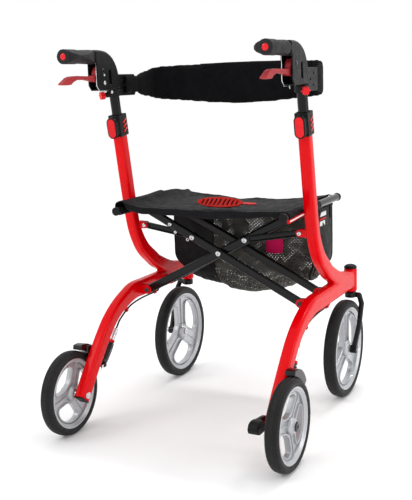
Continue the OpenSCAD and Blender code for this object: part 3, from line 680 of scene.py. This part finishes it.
RIMS = {"rear": rim_shape(SEATS["rear"], 18), "front": rim_shape(SEATS["front"], 20)}
for side, s in SIDES:
    for which, x, y, r in (("rear", REAR_X, REAR_Y, REAR_R), ("front", FRONT_X, FRONT_Y, FRONT_R)):
        wheel(which, side, (s * x, y, r), r, RIMS[which], which + "_wheel_" + side)
    inner = IN_X - 9.1 if s > 0 else IN_X - 0.1
    head = screw_head((inner - 0.1, REAR_Y, REAR_R), (-1, 0, 0), 8.3, 3.6, False)
    build("axle_head_" + side, mirrored(head, s), STEEL, side + "_frame")
    cap = screw_head((REAR_X + TYRE_W / 2 + 2.9, REAR_Y, REAR_R), (1, 0, 0), 11.2, 3)
    build("axle_cap_" + side, mirrored(cap, s), GLOSS, side + "_frame")
    caps = [screw_head((FRONT_X + TYRE_W / 2 + 22.9, FRONT_Y, FRONT_R), (1, 0, 0), 7.2, 2.6),
            screw_head((FRONT_X - TYRE_W / 2 - 1.8, FRONT_Y, FRONT_R), (-1, 0, 0), 8.4, 2.6)]
    build("front_axle_heads_" + side, mirrored(joined(*caps), s), STEEL, "caster_" + side)

# ------------ mouldings and bars that keep the CAD shape
def slot_inserts(side, s):
    """Slanted red strips in both cheeks of the height adjuster."""
    collar = Matrix.Translation(post_at(700)) @ Matrix.Rotation(LEAN, 4, "X")
    strip = sweep([(0, -8.8, 0), (0, -4, 0), (0, 4, 0), (0, 8.8, 0)], oval(1.6, 4.0, 0.5, 16))
    slant = Matrix.Rotation(radians(28), 4, "X")
    strips = [moved(strip, collar @ Matrix.Translation((cheek * 16.2, 4, up)) @ slant)
              for up in (14, 25, 36) for cheek in (-1, 1)]
    build("slot_inserts_" + side, mirrored(joined(*strips), s), RED_GLOSS, side + "_frame")


# node, voxel size and rounds of smoothing
MOULDED = [("handle_shell", 0.9, 5), ("grip", 0.9, 8), ("brake_lever", 0.7, 6), ("backrest_bracket", 0.7, 3),
           ("thumb_screw", 0.6, 3), ("fork", 1.0, 6), ("brake_arm", 1.1, 16), ("control_link", 0.9, 3),
           ("frame_plugs", 0.9, 3), ("rail_caps", 0.8, 3)]
for side, s in SIDES:
    soften("adjuster_" + side, 0.8, 4)
    soften("height_button_" + side, 0.6, 4)
    slot_inserts(side, s)
    for stem, voxel, rounds in MOULDED:
        soften(f"{stem}_{side}", voxel, rounds)
soften("brace_bars_a", 1.2, 4)
soften("brace_bars_b", 1.2, 4)
soften("curb_pedal", 1.1, 16)

# ------------ springs, cables and small hardware
def tube(points, r, n=14):
    """Round cord or wire along a path."""
    return sweep(points, oval(2 * r, 2 * r, 1, n))


# y, z of the sheathed cable from the hole in the beam to its stop
CABLE_PATH = [(130, 285), (124, 279), (118, 273), (108, 271.5), (92, 271.5), (30, 271), (-19, 266),
              (-48, 257), (-78, 242)] + [on_cable(d)[1:] for d in (-14, -2, 10, 24, CABLE_STOP)]
AXIS = Vector((0, RUN_Y, RUN_Z)).normalized()
SPRING_AT, SPRING_LENGTH, SPRING_TURNS = 39.8, 46.4, 8


def brake_cable(side, s):
    """Sheathed cable under the leg and the bare wire beyond its stop."""
    line = [(FX, y, z) for y, z in spline(CABLE_PATH, 6)]
    build("cable_" + side, mirrored(tube(line, 2.3), s), CABLE, side + "_frame",
          ["brake_cable_" + side])
    line = spline([on_cable(d) for d in (CABLE_STOP, 60, 90, 119)], 3)
    build("inner_wire_" + side, mirrored(tube(line, 0.8, 10), s), STEEL, side + "_frame")


def brake_spring(side, s):
    """Return spring over its sleeve, the cup that it pushes on and the barrel nut of the cable."""
    steps = SPRING_TURNS * 16
    across = Vector((1, 0, 0))
    beside = AXIS.cross(across)
    coil = []
    for k in range(steps + 1):
        a = 2 * pi * k / 16
        swell = 7.2 + 0.5 * sin(pi * k / steps)
        p = Vector(on_cable(SPRING_AT + 1.3 + (SPRING_LENGTH - 2.6) * k / steps))
        coil.append(tuple(p + (across * cos(a) + beside * sin(a)) * swell))
    sleeve = lathe([(4.8, 0), (5.2, 2), (5.2, SPRING_LENGTH - 2), (4.8, SPRING_LENGTH)], 24)
    sleeve = moved(sleeve, facing(on_cable(SPRING_AT), AXIS))
    spring = build("spring_" + side, mirrored(joined(sweep(coil, oval(3.2, 3.2, 1, 10), AXIS), sleeve), s),
                   DARK_STEEL, side + "_frame", ["brake_spring_" + side])
    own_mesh(spring)
    cup = lathe([(3.2, 0.4), (7.6, 0), (8.2, 1.4), (7.4, 6.4), (5.4, 8.4), (3.2, 8.6)], 32)
    cup = moved(cup, facing(on_cable(86.6), AXIS))
    build("spring_cup_" + side, mirrored(cup, s), DARK_STEEL, "brake_" + side)
    nut = lathe([(3.6, 0), (4.2, 0.8), (4.2, 5), (3.2, 6), (3.2, 10), (1, 10.6)], 6)
    nut = moved(nut, facing(on_cable(99.5), AXIS))
    nut = build("cable_nut_" + side, mirrored(nut, s), STEEL, None, smooth=False)
    bevelled(nut, 0.3)
    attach(nut, "brake_" + side)


def handle_trim(side, s):
    """Bright liner of the brake channel, screws and plugs in its cheeks, and the bracket's clamp screw."""
    strip = [(FX - 10.7, y, z) for y, z in ((-146.4, 878), (-146.4, 822.4), (-134.6, 809.7), (-106, 809.7))]
    liner = sweep(strip, oval(1.6, 1.6, 0.4, 12))
    plugs = [screw_head((FX + d * 14.0, -122, 858), (d, 0, 0), 5.4, 1.2, False) for d in (-1, 1)]
    heads = [screw_head((FX - 13.8, y, z), (-1, 0, 0), r, 2.0)
             for y, z, r in ((-117, 847, 3.2), (-116, 829, 5.0))]
    clamp = screw_head((FX - 14.4, -88, 807), (-1, 0, 0), 4.2, 2.2)
    build("channel_liner_" + side, mirrored(liner, s), STEEL, "handle_" + side)
    build("pin_plugs_" + side, mirrored(joined(*plugs), s), GLOSS, "handle_" + side)
    build("lever_screws_" + side, mirrored(joined(*heads), s), STEEL, "handle_" + side)
    build("clamp_screw_" + side, mirrored(clamp, s), STEEL, "bracket_" + side)


for side, s in SIDES:
    brake_cable(side, s)
    brake_spring(side, s)
    handle_trim(side, s)

THETA = radians(27.295)  # slope of the crossed bars at rest
CENTRE = LOW_X / cos(THETA)
STOP = CENTRE + 79.7


def on_bar(d, mirror=1):
    """Point at distance d from the lower pivot of the bar that starts on the left (or right, mirrored)."""
    return mirror * (-LOW_X + d * cos(THETA)), LOW_Z + d * sin(THETA)


stop_x, stop_z = on_bar(STOP)
# the left link's bolt lies 0.62 of the way from the link's pivot to the stop bolt
bolt_x, bolt_z = (a + 0.62 * (b - a) for a, b in ((LINK_X, stop_x), (LINK_Z, stop_z)))
bolts = {
    "brace_b": [screw_head((x, -3.2, z), (0, -1, 0), r, 2.8)
                for (x, z), r in ((on_bar(STOP, -1), 6.8), (on_bar(CENTRE + 147.7, -1), 5.4))],
    "brace_a": [screw_head((0, y + pair, 409.4), (0, way, 0), 6.8, 3.0)
                for y, way in ((-2.8, -1), (23.5, 1)) for pair in (0, PAIR_GAP)],
    "link_right": [screw_head((stop_x, -2.2, stop_z), (0, -1, 0), 6.8, 2.8)],
    "link_left": [screw_head((-bolt_x, 11.9, bolt_z), (0, -1, 0), 4.6, 2.4)]}
for body_name, shapes in bolts.items():
    build("bolts_" + body_name, joined(*shapes), STEEL, body_name)


# ------------ soft goods
def crumple(p, size, amount, seed=0.0):
    """Fold pattern at a point: broad slack folds with sharper creases over them."""
    q = Vector(p) / size + Vector((seed, seed * 1.7, 0))
    broad = noise.noise(q)
    crease = 1 - 2 * abs(noise.noise(q * 2.1 + Vector((3.1, 0, 7.7))))
    return amount * (0.65 * broad + 0.35 * crease)


def smoothstep(a, b, v):
    t = min(max((v - a) / (b - a), 0), 1)
    return t * t * (3 - 2 * t)


def thicken(o, t):
    """Gives a sheet its thickness, half on each side."""
    modify(o, "SOLIDIFY", thickness=t * MM, offset=0.0, use_even_offset=False)
    return apply_all(o)


SEAT_BACK, SEAT_FRONT = -98.0, 232.0


def puffed(x, y):
    """How far the cloth stands off the left rail where it is loose behind; it settles back onto the rail
    towards the front.
    """
    ridge = 10.5 + 3.5 * exp(-((y - 115) / 55) ** 2)
    return ridge * exp(-((x + 214) / 30) ** 2) * (1 - 0.85 * smoothstep(170, 232, y))


def seat_z(x, y):
    """Height of the slung seat: it sags between its rails, most at the front."""
    t = (y - SEAT_BACK) / (SEAT_FRONT - SEAT_BACK)
    across = 1 - (abs(x) / RAIL_X) ** 2.2
    sag = (6.0 + 13.5 * max(t, 0) ** 1.5) * across
    slack = crumple((x, y * 0.55, 0), 62, 4.2 * across + 0.8, 2.0)
    pleat = 1.6 * across * sin((x * 0.5 + y) / 17 + 2.2 * sin(x / 60)) * smoothstep(0.55, 1, t)
    layer = 0.7 * smoothstep(-201, -204, -abs(x)) + 0.7 * smoothstep(SEAT_FRONT - 24, SEAT_FRONT - 21, y)
    layer += 0.7 * smoothstep(-SEAT_BACK - 24, -SEAT_BACK - 21, -y)
    return 532.2 - sag + puffed(x, y) + slack + pleat + layer


def seat_cloth():
    """Slung cloth with turned hems behind and in front and a sleeve round each rail."""
    wrap = [radians(a) for a in range(-162, 86, 13)]
    sleeve = [(-RAIL_X - 10.3 * cos(a), RAIL_Z + 10.3 * sin(a), False) for a in wrap]
    middle = [(-RAIL_X + 2 * RAIL_X * k / 84, None, True) for k in range(85)]
    points = sleeve + middle + [(-x, z, panel) for x, z, panel in reversed(sleeve)]
    hem = [(2.6, -17.0), (1.4, -19.0), (0.0, -19.6), (-1.4, -18.0), (-1.8, -12.0), (-1.4, -6.0), (-0.6, -2.0)]
    inside = [(SEAT_FRONT - SEAT_BACK - 3) * k / 70 + 1.5 for k in range(71)]
    rows = []
    for end, steps in ((SEAT_BACK, hem), (None, inside), (SEAT_FRONT, hem[::-1])):
        for i, step in enumerate(steps):
            row = []
            for x, z, panel in points:
                depth = 1 - smoothstep(196, 206, abs(x)) if panel else 0
                if end is None:
                    y, drop = SEAT_BACK + step, 0
                else:
                    way = 1 if end < 0 else -1
                    k = i if end < 0 else len(hem) - 1 - i
                    y = end + way * (step[0] * depth + (1 - depth) * (k - 6) * 0.25)
                    drop = step[1] * depth * (0.78 - 0.22 * (x / 200) ** 2 + 0.06 * sin(x / 37.0))
                if panel:
                    row.append((x, y, seat_z(x, min(max(y, SEAT_BACK), SEAT_FRONT)) + drop))
                else:
                    loose = puffed(x, y) * smoothstep(RAIL_Z - 3, RAIL_Z + 10, z)
                    row.append((x - loose * 0.3, y, z + loose))
            rows.append(row)
    return grid(rows)


def drop_faces(o, test):
    """Deletes the faces whose middle passes the test."""
    bm = bmesh.new()
    bm.from_mesh(o.data)
    bad = [f for f in bm.faces if test(f.calc_center_median() / MM)]
    bmesh.ops.delete(bm, geom=bad, context="FACES")
    bm.to_mesh(o.data)
    bm.free()


SLEEVE_GAP = (-8, 29)
SLEEVE_END = 109


def cut_away(c):
    """Where a rail sleeve is open: its gap, and all of the rail in front of its end."""
    in_gap = c.z < 531.5 and abs(c.x) > 200 and SLEEVE_GAP[0] < c.y < SLEEVE_GAP[1]
    return in_gap or (abs(c.x) > 206 and c.y > SLEEVE_END)


def fold_with_seat(o):
    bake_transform(o)


seat = build("seat_sling", seat_cloth(), NYLON, None, ["seat_left", "seat_right"], flip=False)
drop_faces(seat, cut_away)
thicken(seat, 1.8)
fold_with_seat(seat)


def stitch(x, y, dx, dy):
    """One stitch lying on the seat."""
    ends = [(x + k * dx, y + k * dy) for k in (-1, 1)]
    return sweep([(u, v, seat_z(u, v) + 1.15) for u, v in ends], oval(0.8, 0.7, 1, 6))


# stitch rows along the hems and rail sleeves
stitches = [stitch(k * 5.1, y, 1.5, 0) for y in (SEAT_BACK + 19, SEAT_FRONT - 19) for k in range(-38, 39)]
stitches += [stitch(x, SEAT_BACK + 22 + k * 4.7, 0, 1.5) for x in (-198.5, 198.5) for k in range(62)]
thread = build("seat_stitching", joined(*stitches), WEBBING, None)
fold_with_seat(thread)


# pull pad with slanted slots, its backing and the strap beside it
def slot_outline(x, w, h, lean):
    """Slanted slot of the pad, bowed away from its middle."""
    bow = 0.02 if x > 0 else -0.02
    return [(x + u + v * lean + bow * v * v, v) for u, v in oval(w, h, 0.6, 16)]


PAD = Matrix.Translation((35, -56, 544.4)) @ Matrix.Rotation(radians(50), 4, "X")
ellipse = oval(118, 28, 1, 72)
slots = [slot_outline(x, 4.6, 2 * (10.2 * sqrt(1 - (x / 60) ** 2)) - 1, 0.26) for x in range(-44, 45, 11)]
pad = build("pull_pad", moved(flat_plate(ellipse, slots, 2.0, 0.9), PAD), PAD_RED, None,
            ["seat_pull"])
backing = flat_plate([(x * 0.93, y * 0.82) for x, y in ellipse], [], 0.9, 0.4)
backing = moved(backing, PAD @ Matrix.Translation((0, 0, -1.7)))
back = build("pull_pad_backing", backing, WEBBING, None)
foot = sweep([(-30, -9, -2.6), (30, -9, -2.6)], oval(8, 5, 0.6, 16), (0, 0, 1))
foot = build("pull_pad_foot", moved(foot, PAD), WEBBING, None)
strap = grid([[(x - y * 0.5, y, seat_z(x - y * 0.5, y) + 1.9) for y in range(54, 102, 4)]
              for x in range(24, 109, 4)])
strap = build("pull_strap", strap, RED_WEB, None, flip=False)
thicken(strap, 1.3)
for o in (pad, back, foot, strap):
    fold_with_seat(o)

tab = [(224.8, -110, 512.4), (228.6, -104, 513.6), (230.0, -80, 515.2), (230.0, -30, 517.5), (229.8, 30, 518)]
tape = [(x + 0.9, y, z) for x, y, z in tab[1:]]
build("rail_tab", sweep(spline(tab, 6), oval(1.4, 9, 0.3, 16)), RED_WEB, "seat_half_right")
build("rail_tab_tape", sweep(spline(tape, 6), oval(0.9, 3.2, 0.3, 16)), LABEL, "seat_half_right")

# ------------ bag
BAG_X, BAG_TOP = 203, 503
# y, z round the bag, down its back, under its floor and up its front
BAG_LINE = [(152.5, BAG_TOP), (152, 470), (151.5, 430), (151.8, 390), (152.5, 352), (157, 326),
            (172, 307), (200, 300), (228, 303), (249, 318), (259, 345), (261.5, 390), (262, 440),
            (261, BAG_TOP)]
BAG_PROFILE = spline(BAG_LINE, 6)
# x, rise of the floor along the bag
BAG_FLOOR = [(-BAG_X, 26), (-190, 12), (-163, 2), (-139, -5), (-91, -12), (-43, -24), (4, -27), (86, -19),
             (122, -9), (153, 3), (192, 14), (BAG_X, 24)]


def bag_fold(x, y, z):
    """Slack of the bag at a point: quiet near the hem, deeper folds low down."""
    low = 1 - smoothstep(320, 500, z)
    edge = 1 - smoothstep(BAG_X - 15, BAG_X, abs(x))
    amount = (1.6 + 4.2 * low) * (0.25 + 0.75 * edge)
    f = crumple((x, y, z * 1.6), 46, amount, 5.0)
    f += 1.6 * edge * sin(x / 13 + z / 30 + 2 * sin(z / 41)) * (1 - smoothstep(30, 120, abs(z - 440)))
    return f


def floor_shift(x):
    """Rise of the bag's floor at x."""
    for (xa, a), (xb, b) in zip(BAG_FLOOR, BAG_FLOOR[1:]):
        if x <= xb:
            return a + (b - a) * smoothstep(xa, xb, x)
    return BAG_FLOOR[-1][1]


def bag_point(x, i):
    """Point i of the profile at x: slack, with a sagging floor and round ends."""
    y, z = BAG_PROFILE[i]
    low = 1 - smoothstep(296, 385, z)
    f = bag_fold(x, y, z)
    out = Vector((0, y - 206, (z - 400) * 0.6 if z < 330 else 0))
    out.normalize()
    top = 1 - smoothstep(BAG_TOP - 8, BAG_TOP, z)
    p = Vector((x * (1 - 0.10 * low ** 1.6), y, z + floor_shift(x) * low)) + out * f * top
    return tuple(p)


def bag_end(s):
    """Side panel at one end of the bag, bulging a little."""
    half = len(BAG_PROFILE) // 2
    rows = []
    for i in range(half + 1):
        a, b = Vector(bag_point(s * BAG_X, i)), Vector(bag_point(s * BAG_X, len(BAG_PROFILE) - 1 - i))
        row = []
        for k in range(15):
            u = k / 14
            p = a.lerp(b, u)
            bulge = 3.5 * sin(pi * u) * sin(pi * min(i / half, 1))
            bulge += crumple((0, p.y, p.z), 55, 3.0, 9.0 + s) * sin(pi * u)
            row.append((p.x + s * bulge, p.y, p.z))
        rows.append(row)
    return grid(rows)


def bag_cloth():
    xs = [-BAG_X + 2 * BAG_X * k / 120 for k in range(121)]
    shell = grid([[bag_point(x, i) for i in range(len(BAG_PROFILE))] for x in xs])
    return joined(shell, bag_end(-1), bag_end(1))


def net_here(c):
    """Material index of a face of the bag: 1 on its netted back and front, 0 on the solid cloth."""
    if abs(c.x) > 198 or c.z > 497:
        return 0
    if c.y < 236:
        return 1 if -88 < c.x < 192 else 0
    return 1 if -190 < c.x < 192 and c.z < 490 else 0


def fold_with_bag(o):
    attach(o, "bag_body")
    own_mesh(o)


bag = build("bag_soft", bag_cloth(), [SIDE_NYLON, NET], None, ["bag"], mat_of=net_here,
            flip=False)
modify(bag, "WELD", merge_threshold=0.2 * MM)
apply_all(bag)
thicken(bag, 1.0)
fold_with_bag(bag)


def bag_binding():
    """Tape round the top, seams of the net, piped corners and the four loops that hang on the rails."""
    last = len(BAG_PROFILE) - 1
    top = [bag_point(x, 0) for x in range(-BAG_X, BAG_X + 1, 7)]
    top += [(BAG_X, y, BAG_TOP) for y in range(160, 260, 12)]
    top += [bag_point(x, last) for x in range(BAG_X, -BAG_X - 1, -7)]
    top += [(-BAG_X, y, BAG_TOP) for y in range(252, 158, -12)]
    parts = [sweep(top, oval(4, 9, 0.5, 12), (0, 0, 1), closed=True)]
    for x in (-88, 192):
        seam = [Vector(bag_point(x, i)) + Vector((0, -0.9 if BAG_PROFILE[i][0] < 200 else 0.9, 0))
                for i in range(2, last + 1)]
        parts.append(sweep([tuple(p) for p in seam if p.y < 236], oval(5, 2.2, 0.6, 10)))
    for s in (-1, 1):
        corner = [bag_point(s * BAG_X, i) for i in range(last + 1)]
        parts.append(sweep(corner, oval(3.2, 3.2, 1, 10)))
        for y in (166, 247):
            loop = [(s * 204.2, y, 470), (s * 205, y, 500), (s * 204.8, y, 516), (s * 204.6, y, 528)]
            parts.append(sweep(spline(loop, 4), oval(18, 1.6, 0.4, 12), (0, 1, 0)))
    return joined(*parts)


trim = build("bag_binding", bag_binding(), WEBBING, None)
fold_with_bag(trim)
PATCH_X, PATCH_Z = 87, 412


def on_back(x, z, lift):
    """Point on the outside of the bag's rear face."""
    best = min(range(len(BAG_PROFILE) // 2), key=lambda i: abs(BAG_PROFILE[i][1] - z))
    a, b = BAG_PROFILE[best], BAG_PROFILE[best + 1]
    y = a[0] + (b[0] - a[0]) * (z - a[1]) / (b[1] - a[1] or 1)
    return (x, y - bag_fold(x, y, z) - lift, z)


def patch_cloth(w, h, lift):
    """Sewn-on patch that follows the bag, its edges drawn in a little between the corners."""
    n = 14
    rows = []
    for i in range(n + 1):
        row = []
        for k in range(n + 1):
            u, v = 2 * i / n - 1, 2 * k / n - 1
            shrink = 1 - 0.10 * (u * v) ** 2
            row.append(on_back(PATCH_X + u * w / 2 * shrink, PATCH_Z + v * h / 2 * shrink, lift))
        rows.append(row)
    return grid(rows)


def patch_stitches(half, lift):
    """Nine stitches along each edge of a square inside the patch."""
    corners = [(-half, -half), (half, -half), (half, half), (-half, half)]
    parts = []
    for (ax, az), (bx, bz) in zip(corners, corners[1:] + corners[:1]):
        for k in range(9):
            ends = [on_back(PATCH_X + ax + (bx - ax) * u, PATCH_Z + az + (bz - az) * u, lift)
                    for u in ((k + 0.2) / 9, (k + 0.7) / 9)]
            parts.append(sweep(ends, oval(0.9, 0.9, 1, 6), (0, 1, 0)))
    return joined(*parts)


badge = build("bag_patch", patch_cloth(48, 50, 2.4), PATCH, None, flip=False)
thicken(badge, 1.2)
fold_with_bag(badge)
thread = build("bag_patch_stitches", patch_stitches(20, 3.4), RED_WEB, None)
fold_with_bag(thread)
eyelet = ring_lathe([(3.4 + 1.6 * cos(a * 0.785), 1.2 * sin(a * 0.785)) for a in range(8)], 32)
eyelet = moved(eyelet, facing(on_back(-163, 410, 3.4), (0, -1, 0)))
eyelet = build("bag_eyelet", eyelet, STEEL, None)
fold_with_bag(eyelet)
# labels on the right end of the bag: y, z of the middle, width, height, finish
LABELS = [(184, 488, 46, 11, LABEL), (184, 476, 46, 4, RED_WEB), (180, 465, 36, 12, LABEL)]
for n, (y, z, w, h, m) in enumerate(LABELS):
    ys = [y + u * w / 2 for u in (-1, -0.6, -0.2, 0.2, 0.6, 1)]
    rows = [[(204.6 + 1.19 * sin(pi * (at - 152) / 110), at, z + v * h / 2) for v in (-1, -0.5, 0, 0.5, 1)]
            for at in ys]
    tag = build(f"bag_label_{n}", grid(rows), m, None, flip=False)
    thicken(tag, 0.8)
    fold_with_bag(tag)

# ------------ backrest band
# place along the band from its right end to the middle: x, y, lower edge, upper edge
BAND_PLAN = [(233, -18, 800, 848), (235.5, 10, 799.5, 848.5), (235.5, 42, 799.5, 849), (236, 62, 794, 854),
             (235.5, 90, 789.5, 859), (230, 115, 785, 865), (208, 136, 780, 868.5), (168, 148, 775, 871.5),
             (110, 157, 769.5, 874), (50, 161, 765.5, 875.4), (0, 162, 764.5, 875.6)]


def band_shape():
    """Padded strip, thinner in its end sleeves, pinched at its four seams and grooved along each edge."""
    plan = spline(BAND_PLAN + [(-x, *rest) for x, *rest in reversed(BAND_PLAN[:-1])], 10)
    path, sizes = [], []
    for x, y, lo, hi in plan:
        from_end = y + 18 if y < 100 else 200
        seam = exp(-((from_end - 60) / 2.2) ** 2) + 0.5 * exp(-((abs(x) - 205) / 2.5) ** 2)
        t = (5.4 if from_end < 60 else 7.6) * (1 - 0.4 * seam)
        path.append((x, y, (lo + hi) / 2))
        sizes.append((hi - lo - 3 * seam - (0 if from_end > 60 else 2), t))
    outline = []
    for a, b in oval(1, 1, 0.42, 72):
        groove = 0.10 * exp(-((abs(a) - 0.42) / 0.012) ** 2)
        outline.append((a, b * (1 - groove)))
    return sweep(path, outline, (0, 0, 1), sizes)


band = build("backrest_padded", band_shape(), BAND, None, ["backrest_band"])


PUFF_FRAMES = 20


def puff(o, voxel, pressure, cap):
    """Lets cloth pressure swell a pad, and keeps each point within cap of where it began."""
    modify(o, "REMESH", mode="VOXEL", voxel_size=voxel * MM, use_smooth_shade=True)
    apply_all(o)
    start = [v.co.copy() for v in o.data.vertices]
    cloth = modify(o, "CLOTH")
    cloth.settings.quality = 6
    cloth.settings.mass = 0.25
    cloth.settings.tension_stiffness = cloth.settings.compression_stiffness = 22
    cloth.settings.bending_stiffness = 1.2
    cloth.settings.use_pressure = True
    cloth.settings.uniform_pressure_force = pressure
    cloth.settings.effector_weights.gravity = 0
    cloth.collision_settings.use_collision = False
    for f in range(1, PUFF_FRAMES + 1):
        scene.frame_set(f)
    apply_all(o)
    scene.frame_set(1)
    for v, p in zip(o.data.vertices, start):
        d = v.co - p
        if d.length > cap * MM:
            v.co = p + d.normalized() * cap * MM
    modify(o, "SMOOTH", factor=0.5, iterations=2)
    modify(o, "SUBSURF", levels=1, render_levels=1)
    apply_all(o)
    for p in o.data.polygons:
        p.use_smooth = True


def fold_with_band(o):
    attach(o, "bracket_left")
    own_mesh(o)


puff(band, 3.4, 3.0, 4.0)
fold_with_band(band)
# seams at the sleeves and at the bends: x, y, lower edge, upper edge, direction across the seam
BAND_SEAMS = [(235.6, 42, 800, 849, (1, 0)), (205, 137, 780, 869, (0.42, 0.9))]
seams = []
for s in (-1, 1):
    for x, y, lo, hi, (nx, ny) in BAND_SEAMS:
        for w in (-1, 1):
            col = [(s * (x + w * nx * 3.2), y + w * ny * 3.2, lo + 4 + (hi - lo - 8) * k / 10)
                   for k in range(11)]
            seams.append(tube(col, 0.65, 8))
piping = build("band_seams", joined(*seams), WEBBING, None)
fold_with_band(piping)

# what keeps its CAD mesh gets its finish by slot
for row in frame["record"]["subparts"]:
    o = nodes[row["node"]]
    m = FINISH[row["material_slot"]]
    if row["node"].startswith("grip_dot"):
        m = RED_GLOSS
    if row["node"].startswith("handle_post"):
        m = POST
    for i in range(len(o.material_slots)):
        o.material_slots[i].material = m
